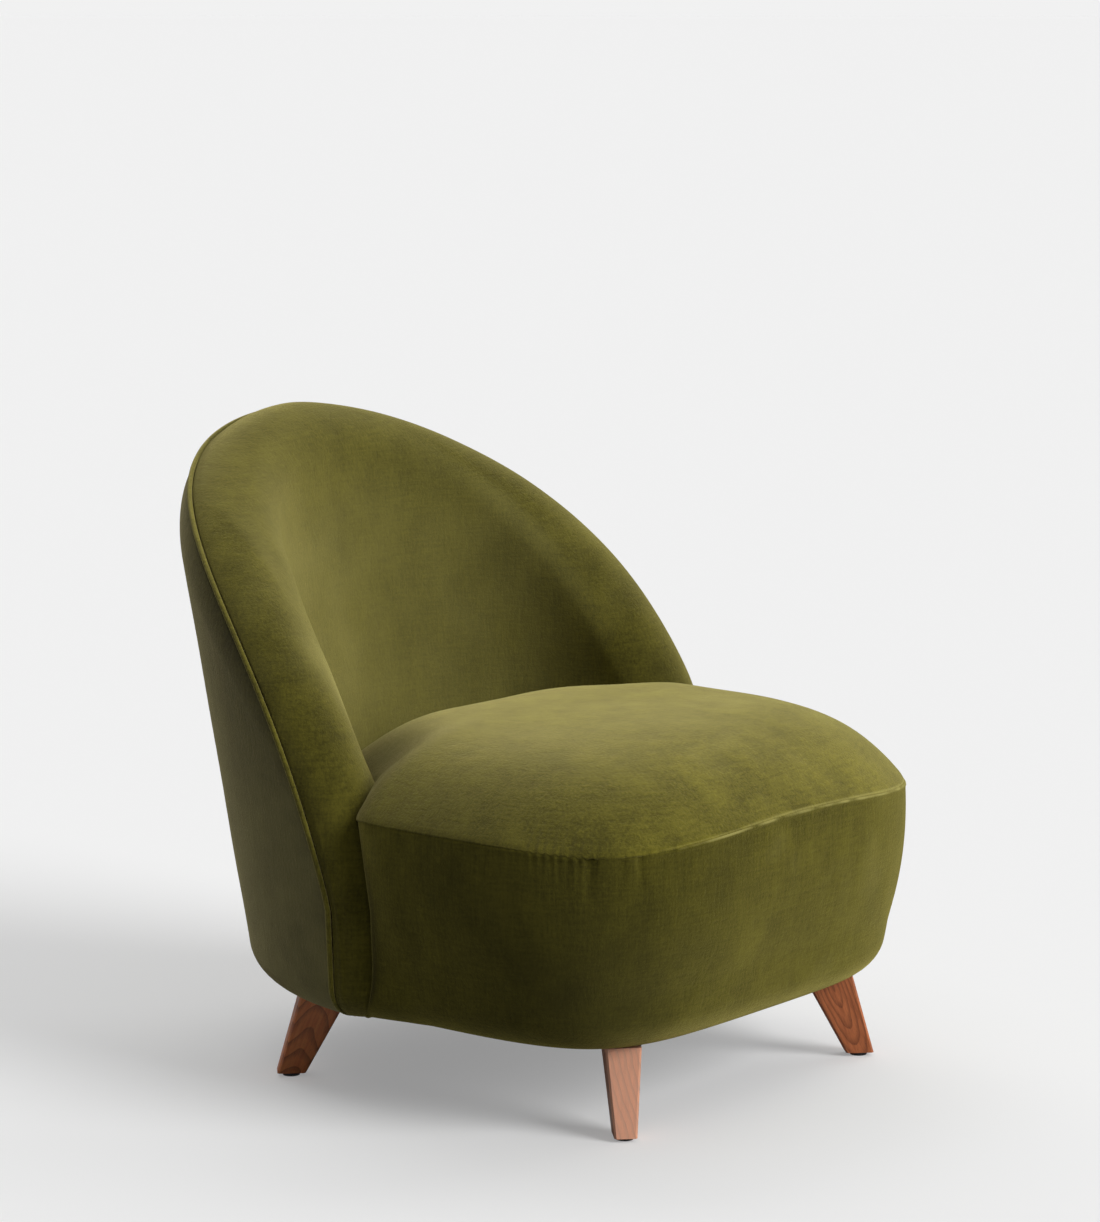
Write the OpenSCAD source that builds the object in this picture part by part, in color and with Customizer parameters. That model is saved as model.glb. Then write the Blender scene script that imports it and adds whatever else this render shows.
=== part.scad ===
// Tub chair: a padded back and arms bent round a crowned seat, on four splayed wooden legs.
// The front faces -Y, +Z is up, and the origin is on the floor below the middle of the chair.

/* [Overall] */
// Height of the back above the floor
chair_h = 790; // [720:5:880]
// Width over the arms
chair_w = 757; // [690:1:900]
// Depth from the front of the seat to the back
chair_d = 870; // [800:5:1000]
// Height of the upholstered body's underside
body_z = 105; // [80:1:140]

/* [Back and arms] */
// Thickness of the padded back and arms
pad_t = 117; // [105:1:130]
// Height at which the edges of the arms begin to curve back
knee_z = 243; // [210:1:290]
// How far the arms run forward of the round of the tub
arm_l = 51; // [30:1:90]
// Backward lean of the back, as a share of its height
lean_share = 0.166; // [0.1:0.002:0.24]
// Widening of the tub over the chair's height
flare_share = 0.171; // [0.08:0.001:0.22]
// Height above the knee, as a share of the chair's height, where the arms are widest
widest_share = 0.152; // [0.1:0.002:0.25]
// Power of the arch from side to side
arch_side_power = 1.71; // [1.6:0.01:2.2]
// Power of the arch from knee to top
arch_top_power = 1.96; // [1.7:0.01:2.3]
// Radius of the rounding along the bottom of the body
bottom_r = 42; // [25:1:45]
// Diameter of the piping
pipe_d = 6; // [4:0.5:8]
// Angle round the rim, from its crest outwards, at which the piping runs on the arms
pipe_arm_angle = 85; // [60:1:86]
// The same angle at the top of the back
pipe_top_angle = 40; // [25:1:80]

/* [Seat] */
// Width of the seat over its front border
seat_w = 722; // [660:1:740]
// Depth of the rounded front part of the seat
seat_round_d = 317; // [250:1:340]
// Power of the front outline from side to side
seat_side_power = 3.66; // [2.6:0.02:5]
// Power of the front outline from back to front
seat_front_power = 3.11; // [2.4:0.01:4]
// Height of the seam between the seat and its border
seam_z = 356; // [330:1:400]
// Rise of the seat's crown above that seam
crown_h = 94; // [70:1:110]
// Power of the crown: higher is flatter on top and fuller at the seam
crown_power = 4.66; // [3:0.02:6]
// How far in from the tub's wall the crown begins to fall towards it
crown_roll = 190; // [140:1:230]
// How far behind the rounded front part it begins to fall to the back
crown_back = 39; // [0:1:80]
// How far the seat sinks below its seam along the tub's wall
seat_sink = 26; // [10:1:30]
// How far the border's ends beside the arms turn in at the seam, and out at the bottom
arm_tuck = 22.5; // [0:0.5:30]
// Rise of the seam at the middle of the front
seam_rise = 7; // [0:0.5:12]
// Dip of the seam at the front corners
seam_dip = 10.5; // [0:0.5:16]
// Swell of the border below the seam
border_swell = 6; // [0:0.5:10]
// How far the border draws in evenly down to the bottom
border_taper = 12.5; // [5:0.5:18]
// How far it draws in further, most near the bottom
border_tuck = 20.75; // [10:0.25:26]
// Thickness of the padding behind the border
border_t = 50; // [46:1:60]

/* [Frame] */
// Thickness of the plywood plates
ply_t = 18; // [15:1:22]
// Top of the seat's plywood plate
seat_frame_z = 300; // [280:1:310]
// Inner face of the back's timbers, out from the middle of the padding
frame_in = 4; // [2:1:8]
// Outer face of the back's timbers, out from the middle of the padding
frame_out = 34; // [30:1:38]
// Width of the timber arch
hoop_w = 44; // [30:1:55]
// How far the timber arch lies in from the rim
hoop_in = 16; // [12:1:22]
// Bevel on the arch's outer edges
hoop_bevel = 12; // [9:1:14]
// Width of the upright slats of the back
slat_w = 42; // [30:1:60]
// Number of upright slats
slat_n = 4; // [2:1:6]
// Height of the curved rail's lower edge
rail_z = 470; // [440:5:520]
// Width of the curved rail
rail_w = 45; // [30:1:60]
// Width of the studs under the seat
stud_w = 40; // [30:1:50]
// Thickness of the studs under the seat
stud_t = 24; // [18:1:26]
// Half the width of the opening in the plywood plates
opening_r = 190; // [170:1:200]
// Width of the elastic webbing of the back
web_w = 50; // [40:1:60]
// Number of webbing bands
web_n = 3; // [1:1:3]

/* [Springs] */
// Number of springs
spring_n = 5; // [3:1:6]
// Distance between the middles of the springs
spring_gap = 80; // [60:1:82]
// Width of a spring over its bends
spring_w = 50; // [40:1:60]
// Pitch of the bends
spring_pitch = 28; // [24:1:36]
// Diameter of the spring wire
wire_d = 3.8; // [3:0.1:4.2]

/* [Legs] */
// Distance of the front feet from the middle, sideways
foot_front_x = 235; // [210:1:260]
// Distance of the front feet from the middle, forwards
foot_front_y = 353; // [330:1:370]
// Distance of the rear feet from the middle, sideways
foot_rear_x = 287; // [260:1:300]
// Distance of the rear feet from the middle, backwards
foot_rear_y = 130; // [110:1:150]
// How far a foot stands out from the leg's top, along the leg's diagonal
leg_splay = 42; // [20:1:50]
// Width of a leg along its diagonal at the top
leg_top_w = 61; // [50:1:72]
// Width of a leg along its diagonal at the foot
leg_foot_w = 35; // [26:1:45]
// Thickness of a leg across its diagonal at the top
leg_top_t = 43; // [36:1:50]
// Thickness of a leg across its diagonal at the foot
leg_foot_t = 27; // [22:1:36]
// Bevel along a leg's edges
leg_bevel = 2.5; // [1:0.5:5]
// Diameter of a glide
glide_d = 21; // [16:1:22]
// Thickness of a glide
glide_t = 4.5; // [3:0.5:7]
// Diameter of the leg bolts
bolt_d = 8; // [6:1:9]
// How deep the bolts sit in the legs
bolt_in = 32; // [25:1:36]

/* [Covers] */
// Thickness of the upholstery fabric
cover_t = 1.2; // [0.8:0.1:1.6]
// Thickness of the fibreboard behind the back
board_t = 3.5; // [2.5:0.5:5]
// Thickness of the felt over the springs
felt_t = 6; // [4:0.5:10]
// Thickness of the dust cover
dust_t = 1; // [0.6:0.1:1]
// Clearance between pieces that lie against each other
gap = 0.3; // [0.2:0.05:0.4]

/* [Hidden] */
$fn = 48;
velvet = [0.36, 0.34, 0.18];
timber = [0.80, 0.66, 0.46];
plywood = [0.78, 0.62, 0.42];
foam = [0.93, 0.90, 0.78];
felt = [0.80, 0.80, 0.78];
board = [0.55, 0.40, 0.26];
steel = [0.62, 0.63, 0.65];
stained_oak = [0.52, 0.28, 0.17];
black = [0.08, 0.08, 0.08];
overrun = 1;

pad_r = pad_t/2;
foam_r = pad_r - cover_t - 2*gap;
tub_r = chair_w/2/(1 + flare_share*widest_share) - pad_r;
half_wrap = tub_r*PI/2;
wrap_s = half_wrap + arm_l;
tub_y = chair_d/2 - pad_r - tub_r - lean_share*(chair_h - pad_r - knee_z);
front_y = -chair_d/2 + border_swell/5;
round_y = front_y + seat_round_d;
nut_flange_t = 1.5;
nut_flange_d = 22;
nut_barrel_d = 10;
screw_d = 5;
screw_head_d = 9.5;
screw_l = 45;
web_t = 1.2;
base_z = body_z + dust_t + 2*gap;
base_top = base_z + ply_t;
pad_low = base_top + nut_flange_t + 2*gap;

// Shares of the way from the foot of an arm to its knee at which the skins have points
side_shares = [0, 0.06, 0.15, 0.22, 0.3, 0.62];
// Shares of the way from the rounded rim to the middle of the back at which they have points
field_shares = [0.12, 0.25, 0.38, 0.51, 0.64, 0.77, 0.9];
// Shares of the seat's breadth at which its crown has points
crown_shares = [0.98, 0.95, 0.91, 0.86, 0.79, 0.7, 0.58, 0.4, 0.2];
// Shares of the border's height at which its skins have points
border_shares = [0.12, 0.3, 0.5, 0.68, 0.83, 0.9, 0.95, 0.985, 1];
side_n = len(side_shares);
arch_n = 24;
cols = arch_n + 1 + 2*side_n;
nose_n = 5;
turn_n = 3;
web_steps = 24;
front_steps = 24;
side_steps = 4;
back_steps = 12;

// Power of a number that keeps its sign
function power(v, e) = sign(v)*pow(abs(v), e);
// Eased step from 0 to 1
function ease(t) = let (u = max(0, min(1, t))) u*u*(3 - 2*u);
function degrees(arc, r) = arc/r*180/PI;
function mix(a, b, t) = a + (b - a)*t;
function backwards(list) = [for (i = [len(list) - 1:-1:0]) list[i]];

// How far below the start of the rounded bottom a height is, from 0 to 1
function lowness(z) = max(0, min(1, (body_z + bottom_r - z)/bottom_r));
function round_inset(z) = bottom_r*(1 - sqrt(1 - lowness(z)*lowness(z)));
// Share of the padding's outer half that is left above the rounded bottom
function squeeze(z) = 1 - round_inset(z)/pad_r;
function flare(z) = 1 + flare_share*(z - knee_z)/chair_h;
// Point of the tub: s along the wrap from the middle of the back, z up, n out from the padding's middle
function tub(s, z, n) = let (along = min(abs(s), half_wrap), a = degrees(along, tub_r),
        r = tub_r + (n > 0 ? n*squeeze(z) : n))
    [sign(s)*r*sin(a)*flare(z), tub_y + r*cos(a) - abs(s) + along + lean_share*(z - knee_z), z];

// The rim as s and z, from one arm's foot over the top to the other's; low is the foot's height
function rim_foot(c, low) = let (z = mix(low, knee_z, side_shares[c]))
    [wrap_s + lean_share*(z - knee_z), z];
function rim_arch(c) = let (a = 180*(c - side_n)/arch_n - 90)
    [wrap_s*power(sin(a), 2/arch_side_power), knee_z + (chair_h - knee_z)*pow(cos(a), 2/arch_top_power)];
function rim(c, low) = c < side_n ? let (p = rim_foot(c, low)) [-p[0], p[1]]
    : c < cols - side_n ? rim_arch(c) : rim_foot(cols - 1 - c, low);
// Point d in from the rim, then a share of the way on to the middle, at n from the middle of the padding
function pad_point(c, d, n, share, low) = let (p = rim(c, low), over = max(0, p[1] - knee_z),
        t = mix(d/(over > 0 ? norm([p[0], over]) : abs(p[0])), 1, share))
    tub(p[0]*(1 - t), p[1] - over*t, n);
function pad_row(d, n, share, low) = [for (c = [0:cols - 1]) pad_point(c, d, n, share, low)];
function field_rows(n, low) = [for (share = field_shares) pad_row(pad_r, n, share, low)];
// Depth from the rim at which the rounded rim lies at radius r, angle a from its crest, and the point there
function nose_depth(c, r, a, low) = pad_r - r*cos(a)*squeeze(rim(c, low)[1]);
function nose_point(c, r, a, low) = pad_point(c, nose_depth(c, r, a, low), r*sin(a), 0, low);
// Angle of the piping at rim point c: outermost on the arms, nearer the crest at the top of the back
function pipe_angle(c) = let (rise = rim(c, body_z)[1] - knee_z - bottom_r)
    mix(pipe_arm_angle, pipe_top_angle, ease(rise/(chair_h - knee_z - pad_t)));
pipe_half_angle = degrees(pipe_d/2 + gap, pad_r);

// The skins are flat between their points, and stand in from the true round by this much there
share_step = field_shares[1] - field_shares[0];
skin_bulge = tub_r*(1 - cos(degrees(share_step*(wrap_s - pad_r)/2, tub_r)));
tub_clear = gap + skin_bulge;

// Faces between the points of a sheet of rows by n points that starts at point number first
function quad(a, b, c, d) = [[a, b, c], [a, c, d]];
function sheet_faces(rows, n, first) = [for (r = [0:rows - 2], c = [0:n - 2])
    each quad(first + r*n + c, first + r*n + c + 1, first + (r + 1)*n + c + 1, first + (r + 1)*n + c)];
// Faces that close the last row of a sheet onto itself, left half to right half
function zip_faces(rows, n, first) = let (l = first + (rows - 1)*n, mid = (n - 1)/2)
    concat([[l + mid - 1, l + mid, l + mid + 1]],
        [for (c = [0:mid - 2]) each quad(l + c, l + c + 1, l + n - 2 - c, l + n - 1 - c)]);
function flipped(faces) = [for (f = faces) [f[2], f[1], f[0]]];
function shifted(faces, by) = [for (f = faces) [f[0] + by, f[1] + by, f[2] + by]];
function wall_faces(loop, by) = [for (i = [0:len(loop) - 1]) let (a = loop[i], b = loop[(i + 1)%len(loop)])
    each quad(b, a, a + by, b + by)];
// Solid between two sheets of points, each a list of rows; a zipped one closes round the middle of the back
module skin(outer, inner, zipped) {
    rows = len(outer);
    n = len(outer[0]);
    face = concat(sheet_faces(rows, n, 0), zipped ? zip_faces(rows, n, 0) : []);
    loop = concat([for (c = [0:n - 1]) c], [for (r = [1:rows - 1]) r*n + n - 1],
        zipped ? [] : [for (c = [n - 2:-1:1]) (rows - 1)*n + c], [for (r = [rows - 1:-1:1]) r*n]);
    polyhedron([for (row = outer) each row, for (row = inner) each row],
        concat(face, flipped(shifted(face, rows*n)), wall_faces(loop, rows*n)));
}
function middle(loop) = [for (p = loop) 1]*loop/len(loop);
// Solid through a list of closed loops of points, each end drawn together to a point
module loft(loops, first_point, last_point) {
    rows = len(loops);
    n = len(loops[0]);
    side = [for (r = [0:rows - 2], c = [0:n - 1]) each quad(r*n + c, r*n + (c + 1)%n,
        (r + 1)*n + (c + 1)%n, (r + 1)*n + c)];
    caps = [for (c = [0:n - 1]) each [[(c + 1)%n, c, rows*n],
        [(rows - 1)*n + c, (rows - 1)*n + (c + 1)%n, rows*n + 1]]];
    polyhedron([for (l = loops) each l, first_point, last_point], flipped(concat(side, caps)));
}
module bar(loops) loft(loops, middle(loops[0]), middle(loops[len(loops) - 1]));

// Front outline of the seat, a from 0 at the front to 90 at the side, and the same set in by o
outline_step = 0.2;
function front_outline(a) = [seat_w/2*pow(sin(a), 2/seat_side_power),
    front_y + seat_round_d*(1 - pow(cos(a), 2/seat_front_power))];
function front_inset(a, o) = a < outline_step ? [0, front_y + o]
    : a > 90 - outline_step ? [seat_w/2 - o, round_y]
    : let (p = front_outline(a - outline_step/2), q = front_outline(a + outline_step/2),
        t = (q - p)/norm(q - p)) front_outline(a) + o*[-t[1], t[0]];
// Height of the seam: it rises over this share of the front, and dips round the corners
rise_share = 0.8;
dip_power = 4;
function seam_height(x, y) = let (side = min(1, abs(x)*2/seat_w),
        front = max(0, min(1, (round_y - y)/seat_round_d)), rise = cos(90*min(1, side/rise_share)))
    seam_z + seam_rise*rise*rise*ease(front) - seam_dip*min(1, dip_power*pow(side*front, dip_power));

// Wrap position of the arm's edge at height z, d in from the rim
function edge_s(z, d) = z <= knee_z ? wrap_s + lean_share*(z - knee_z) - d
    : let (over = z - knee_z, top = chair_h - knee_z, k = d/norm([over,
        wrap_s*pow(1 - pow(over/top, arch_top_power), 1/arch_side_power)]))
    (1 - k)*wrap_s*pow(max(0, 1 - pow(over/((1 - k)*top), arch_top_power)), 1/arch_side_power);
// Point beside the arm's rounded edge at angle a and height z, clear of it
function beside_arm(z, a, clear) = let (r = pad_r + clear)
    tub(edge_s(z, pad_r - r*cos(a)*squeeze(z)), z, r*sin(a));
// Angle at which a line at x meets that edge
function meet_angle(x, z, clear) = let (n = x/flare(z) - tub_r)
    asin(max(-1, min(1, n/(n > 0 ? squeeze(z) : 1)/(pad_r + clear))));

// The seat's sides turn in or out on the last part of the way to the arms
turn_power = 4;
tuck_power = 3;
spread_power = 6;
function turn_in(z) = let (up = max(0, min(1, (z - body_z)/(seam_z - body_z))))
    arm_tuck*(pow(up, tuck_power) - pow(1 - up, spread_power));
function side_x(z, share, o) = seat_w/2 - o - turn_in(z)*pow(share, turn_power);
function side_end(z, o, clear) = beside_arm(z, meet_angle(side_x(z, 1, o), z, clear), clear)[1];
arm_front = side_end(seam_z, 0, gap);
// How near a place is to the seat's outline: 0 in the middle, 1 on it
function reach(x, y) = let (share = max(0, min(1, (y - round_y)/(arm_front - round_y))))
    pow(pow(abs(x)/side_x(seam_z, share, 0), seat_side_power)
        + pow(max(0, (round_y - y)/seat_round_d), seat_front_power),
        2/(seat_side_power + seat_front_power));
// The crown is full in front, and falls away towards the tub's wall and the back
wall_z = seam_z + crown_h/2;
wall_in = (tub_r - pad_r)*flare(wall_z);
wall_y = tub_y + lean_share*(wall_z - knee_z);
level_y = round_y + crown_back;
function crown_left(x, y) =
    let (near = max(0, min(1, 1 - (wall_in - norm([x, max(0, y - wall_y)]))/crown_roll)),
        back = max(0, (y - level_y)/(wall_y + wall_in - level_y)))
    (1 - near*near*ease((y - tub_y + arm_l)/pad_t))*(1 - back*back);
function crown_z(p) = let (sink = seat_sink*ease((p[1] - arm_front)/crown_roll))
    seam_height(p[0], p[1]) - sink + crown_left(p[0], p[1])
    *(crown_h*(1 - pow(min(1, reach(p[0], p[1])), crown_power)) + sink);

meet_n = front_steps/2 + side_steps;
half_n = meet_n + nose_n + 1 + back_steps/2;
// The seat's loops are flat between their points round the arm's edge, and keep clear of it by this bulge
edge_turn = 135;
nose_bulge = pad_r*(1 - cos(edge_turn/2/nose_n));
// Plan of half the seat at height z, set in by o, from the middle of the front to the middle of the back
function half_point(i, z, o, clear) = let (share = (i - front_steps/2)/side_steps,
        edge = meet_angle(side_x(z, 1, o), z, clear), inside = pad_r + clear + tub_clear - gap)
    i <= front_steps/2 ? front_inset(i*180/front_steps, o)
    : i < meet_n ? [side_x(z, share, o), mix(round_y, side_end(z, o, clear), share)]
    : let (p = i < meet_n + nose_n
        ? beside_arm(z, mix(edge, -90, (i - meet_n)/nose_n), clear + (i > meet_n ? nose_bulge : 0))
        : tub(edge_s(z, pad_r)*(1 - (i - meet_n - nose_n)/(back_steps/2)), z, -inside)) [p[0], p[1]];
function both_sides(half) = concat(half,
    [for (i = [len(half) - 2:-1:1]) [-half[i][0], half[i][1], half[i][2]]]);
function plan(z, o, clear) = let (half = [for (i = [0:half_n - 1]) half_point(i, z, o, clear)])
    concat(half, [for (i = [half_n - 2:-1:1]) [-half[i][0], half[i][1]]]);
// Height at which the plan's side meets the crown, drop below it
function crown_meet(i, o, clear, drop) = let (a = half_point(i, seam_z + crown_h/2, o, clear),
        b = half_point(i, crown_z(a) - drop, o, clear)) crown_z(b) - drop;
// Loop round the seat, a share of the way from height low up to its crown
function seat_loop(low, share, o, clear, drop) = both_sides([for (i = [0:half_n - 1])
    let (z = mix(low, crown_meet(i, o, clear, drop), share), p = half_point(i, z, o, clear))
        [p[0], p[1], z]]);
// Middle that the crown's loops draw together to, as a share of the rounded front's depth
hub_share = 0.28;
hub = [0, round_y - seat_round_d*hub_share];
function drawn_in(loop, k, drop) = [for (p = loop)
    let (q = mix(hub, [p[0], p[1]], k)) [q[0], q[1], crown_z(q) - drop]];
function crown_loops(loop, drop) = [for (k = crown_shares) drawn_in(loop, k, drop)];
function hub_point(drop) = [hub[0], hub[1], crown_z(hub) - drop];

// How far the border stands in at share h of its height, without its rounded bottom
swell_share = 0.7;
function border_inset(h) = border_taper*h + border_tuck*h*h
    - border_swell*sin(180*min(1, h/swell_share));
// Point of the border's face at column c from the middle of the front, set in by o, clear of the arms
function border_point(c, h, o, clear) = let (i = abs(c), base = half_point(i, seam_z, 0, 4*gap),
        top = seam_height(base[0], base[1]) - cover_t - gap, z = mix(top, body_z, h),
        p = half_point(i, z, o + border_inset(h) + round_inset(z), clear)) [c < 0 ? -p[0] : p[0], p[1], z];
function border_row(h, o) = [for (c = [-meet_n:meet_n]) border_point(c, h, o, 4*gap)];

// Unit direction in which each leg leans out, its foot, and where its bolt stands
leg_names = ["front_left", "front_right", "rear_left", "rear_right"];
leg_feet = [[foot_front_x, -foot_front_y], [-foot_front_x, -foot_front_y], [foot_rear_x, foot_rear_y],
    [-foot_rear_x, foot_rear_y]];
function outwards(p) = [sign(p[0]), sign(p[1])]/sqrt(2);
bolt_shift = 6;
bolt_places = [for (p = leg_feet) p - outwards(p)*(leg_splay - bolt_shift)];
leg_top = body_z - gap;

module opening(front) {
    translate([0, tub_y]) circle(opening_r);
    translate([-opening_r, front]) square([2*opening_r, tub_y - front]);
}
plate_rim = 60;
// Studs as x, y and turn: across the front, along the sides and round the back
stud_front_x = 150;
stud_side_y = 100;
stud_back_angle = 32;
stud_r = opening_r + stud_t/2 + 2*gap;
stud_front_y = front_y + border_t + plate_rim/2 + bottom_r/4;
studs = concat(
    [for (side = [-1, 1], x = [stud_front_x, stud_front_x/3]) [side*x, stud_front_y, 90]],
    [for (side = [-1, 1], y = [tub_y - stud_side_y, tub_y]) [side*stud_r, y, 0]],
    [for (side = [-1, 1]) [side*stud_r*cos(stud_back_angle), tub_y + stud_r*sin(stud_back_angle),
        side*stud_back_angle]]);
stud_top = seat_frame_z - ply_t - gap;

base_inset = border_taper + border_tuck + bottom_r - bottom_r/8;
base_out = 18;
arm_foot_y = tub_y - arm_l + pad_r/3;
module base_frame() color(plywood) difference() {
    translate([0, 0, base_z]) linear_extrude(ply_t) difference() {
        half = concat([for (i = [0:front_steps/2]) front_inset(i*180/front_steps, base_inset)],
            [[seat_w/2 - base_inset, arm_foot_y]],
            [for (i = [0:back_steps/2]) let (p = tub((half_wrap - pad_r/2)*(1 - i*2/back_steps), base_z,
                base_out/squeeze(base_z))) [p[0], p[1]]]);
        polygon(concat(half, [for (i = [len(half) - 2:-1:1]) [-half[i][0], half[i][1]]]));
        opening(front_y + base_inset + plate_rim);
    }
    for (p = bolt_places) translate([p[0], p[1], base_z - overrun])
        cylinder(d = nut_barrel_d + 2*gap, h = ply_t + 2*overrun);
    for (p = studs) translate([p[0], p[1], base_z - overrun]) {
        cylinder(d = screw_d + 2*gap, h = ply_t + 2*overrun);
        cylinder(d = screw_head_d + 2*gap, h = overrun + screw_d);
    }
}
module seat_frame() color(plywood) translate([0, 0, seat_frame_z - ply_t]) linear_extrude(ply_t)
    difference() {
        polygon(plan(seat_frame_z - ply_t, border_t + gap, gap + lean_share*ply_t));
        opening(front_y + border_t + plate_rim);
    }
module seat_studs() color(timber) for (p = studs) translate([p[0], p[1], base_top]) rotate(p[2])
    difference() {
        translate([-stud_t/2, -stud_w/2, 0]) cube([stud_t, stud_w, stud_top - base_top]);
        translate([0, 0, -overrun]) cylinder(d = screw_d + 2*gap, h = screw_l);
    }
module frame_screws() color(steel) for (p = studs) translate([p[0], p[1], base_z]) {
    cylinder(d = screw_head_d, h = screw_d);
    cylinder(d = screw_d, h = screw_l);
}

// The springs' wire lies on the seat's plate; each runs from the front edge to the round of the opening
clip_l = 16;
clip_w = 18;
clip_t = 1.6;
wire_z = seat_frame_z + clip_t + wire_d/2 + gap;
spring_front = front_y + border_t + plate_rim - clip_l/2;
spring_places = [for (i = [0:spring_n - 1]) (i - (spring_n - 1)/2)*spring_gap];
function spring_back(x) = tub_y + sqrt(opening_r*opening_r - x*x) + clip_l/2;
function bend_count(x) = floor((spring_back(x) - spring_front)/spring_pitch);
bend_steps = 6;
// One edge of the wire's plan, off to the left of the way it runs
function wire_side(x, off) = let (n = bend_count(x), pitch = (spring_back(x) - spring_front)/n,
        bar = (spring_w - pitch)/2, last = 1 - 2*(n%2))
    concat([[-bar, off]],
        [for (i = [0:n - 1], j = [0:bend_steps]) let (side = 1 - 2*(i%2), a = 180*j/bend_steps - 90,
            r = pitch/2 - side*off) [side*(bar + r*cos(a)), (i + 1/2)*pitch + r*sin(a)]],
        [[last*bar, n*pitch + last*off]]);
module spring_bends(x) translate([0, 0, -wire_d/2]) linear_extrude(wire_d)
    polygon(concat(wire_side(x, wire_d/2), backwards(wire_side(x, -wire_d/2))));
module seat_springs() color(steel) for (x = spring_places)
    translate([x, spring_front, wire_z]) spring_bends(x);
module spring_clip() difference() {
    translate([-clip_w/2, -clip_l/2, -clip_t - wire_d/2]) cube([clip_w, clip_l, wire_d + 2*clip_t]);
    translate([-clip_w/2 - overrun, -wire_d/2 - gap, -wire_d/2 - gap])
        cube([clip_w + 2*overrun, wire_d + 2*gap, wire_d + 2*gap]);
}
module spring_clips() color(steel) for (x = spring_places, y = [spring_front, spring_back(x)])
    translate([x, y, wire_z]) spring_clip();
tie_d = 3;
tie_places = [front_y + seat_round_d*2/3, tub_y + opening_r/4];
tie_half = (spring_n - 1)/2*spring_gap + spring_w/2;
module tie_wires() color(steel) for (y = tie_places)
    translate([-tie_half, y, wire_z + wire_d/2 + gap + tie_d/2]) rotate([0, 90, 0])
        cylinder(d = tie_d, h = 2*tie_half);
felt_z = wire_z + wire_d/2 + 2*gap + tie_d;
module spring_pad() color(felt) translate([0, 0, felt_z]) linear_extrude(felt_t)
    polygon(plan(felt_z, border_t + gap, gap + lean_share*felt_t));

// The seat's foam keeps this much below the crown, so that its cover lies smooth
crown_slack = 6;
module seat_foam() {
    low = felt_z + felt_t + gap;
    set_in = border_t + gap;
    drop = cover_t + crown_slack;
    edge = seat_loop(low, 1, set_in, gap, drop);
    sides = [for (share = [0, 1/4, 1/2, 3/4]) seat_loop(low, share, set_in, gap, drop)];
    color(foam) loft(concat(sides, [edge], crown_loops(edge, drop)),
        [hub[0], hub[1], low], hub_point(drop));
}
module seat_cover() {
    edge = seat_loop(seam_z, 1, 0, gap, 0);
    under = seat_loop(seam_z, 1, 0, gap, cover_t);
    color(velvet) loft(concat(backwards(crown_loops(under, cover_t)), [under, edge], crown_loops(edge, 0)),
        hub_point(cover_t), hub_point(0));
}
module border_cover() color(velvet)
    skin([for (h = concat([0], border_shares)) border_row(h, 0)],
        [for (h = concat([0], border_shares)) border_row(h, cover_t)], false);
// The border's foam ends flat in front of the arms
module border_foam() {
    end_y = tub_y - arm_l - 2*gap;
    low_share = (seam_z - pad_low)/(seam_z - body_z);
    heights = backwards(concat([0], [for (h = border_shares) if (h < low_share) h]));
    back_o = border_t - 2*gap;
    function side_share(c) = max(0, abs(c) - front_steps/2)/side_steps;
    function ended(c, p) = let (share = side_share(c), y = mix(round_y, end_y, share),
            back = share == 0 ? 1 : (y - round_y)/(p[1] - round_y),
            turn = turn_in(p[2])*pow(share, turn_power)*(1 - pow(back, turn_power)))
        share == 0 ? p : [p[0] + sign(c)*turn, y, p[2]];
    function side_o(c) = cover_t + gap + 3*gap*side_share(c);
    function side(c, h) = border_point(c, h, side_o(c), gap);
    function top(c, share) = let (o = mix(side_o(c), back_o, share), i = abs(c),
            z = crown_meet(i, o, gap, cover_t + crown_slack), p = half_point(i, z, o, gap))
        [c < 0 ? -p[0] : p[0], p[1], z];
    function inner(c, share) = let (z = mix(top(c, 1)[2], side(c, heights[0])[2], share),
            p = half_point(abs(c), z, back_o, gap)) [c < 0 ? -p[0] : p[0], p[1], z];
    function section(c) = concat([for (h = heights) side(c, h)],
        [for (share = [1/5, 1/2, 1]) top(c, share)], [for (share = [1/3, 2/3, 1]) inner(c, share)]);
    color(foam) bar([for (c = [meet_n:-1:-meet_n]) [for (p = section(c)) ended(c, p)]]);
}

// The arch that carries the edge of the back and arms, its section as depth from the rim and place across
hoop_section = [[hoop_in + hoop_bevel, frame_in], [hoop_in + hoop_w, frame_in],
    [hoop_in + hoop_w, frame_out], [hoop_in + hoop_bevel, frame_out],
    [hoop_in, frame_out - hoop_bevel], [hoop_in, frame_in + hoop_bevel]];
hoop_low = base_top + gap;
module back_hoop() color(timber)
    bar([for (c = [0:cols - 1]) [for (p = hoop_section) pad_point(c, p[0], p[1], 0, hoop_low)]]);
// Height of the arch's inner edge at s
function hoop_inner_z(s) = let (z = chair_h - knee_z, k = (hoop_in + hoop_w + gap)/z)
    knee_z + (1 - k)*z*pow(1 - pow(abs(s)/(1 - k)/wrap_s, arch_side_power), 1/arch_top_power);
slat_bulge = tub_r*(1 - cos(degrees(slat_w/2, tub_r)));
slat_in = frame_in + slat_bulge;
slat_out = (frame_in + frame_out)/2;
slat_gap = 3;
slat_places = [for (i = [0:slat_n - 1]) (i - (slat_n - 1)/2)*2*half_wrap/(slat_n + 1)];
module back_slats() color(timber) for (s = slat_places)
    bar([for (z = [hoop_low, hoop_inner_z(abs(s) + slat_w/2) - slat_gap])
        let (in = slat_in/squeeze(z), out = slat_out/squeeze(z))
            [tub(s - slat_w/2, z, in), tub(s + slat_w/2, z, in), tub(s + slat_w/2, z, out),
                tub(s - slat_w/2, z, out)]]);
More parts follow.
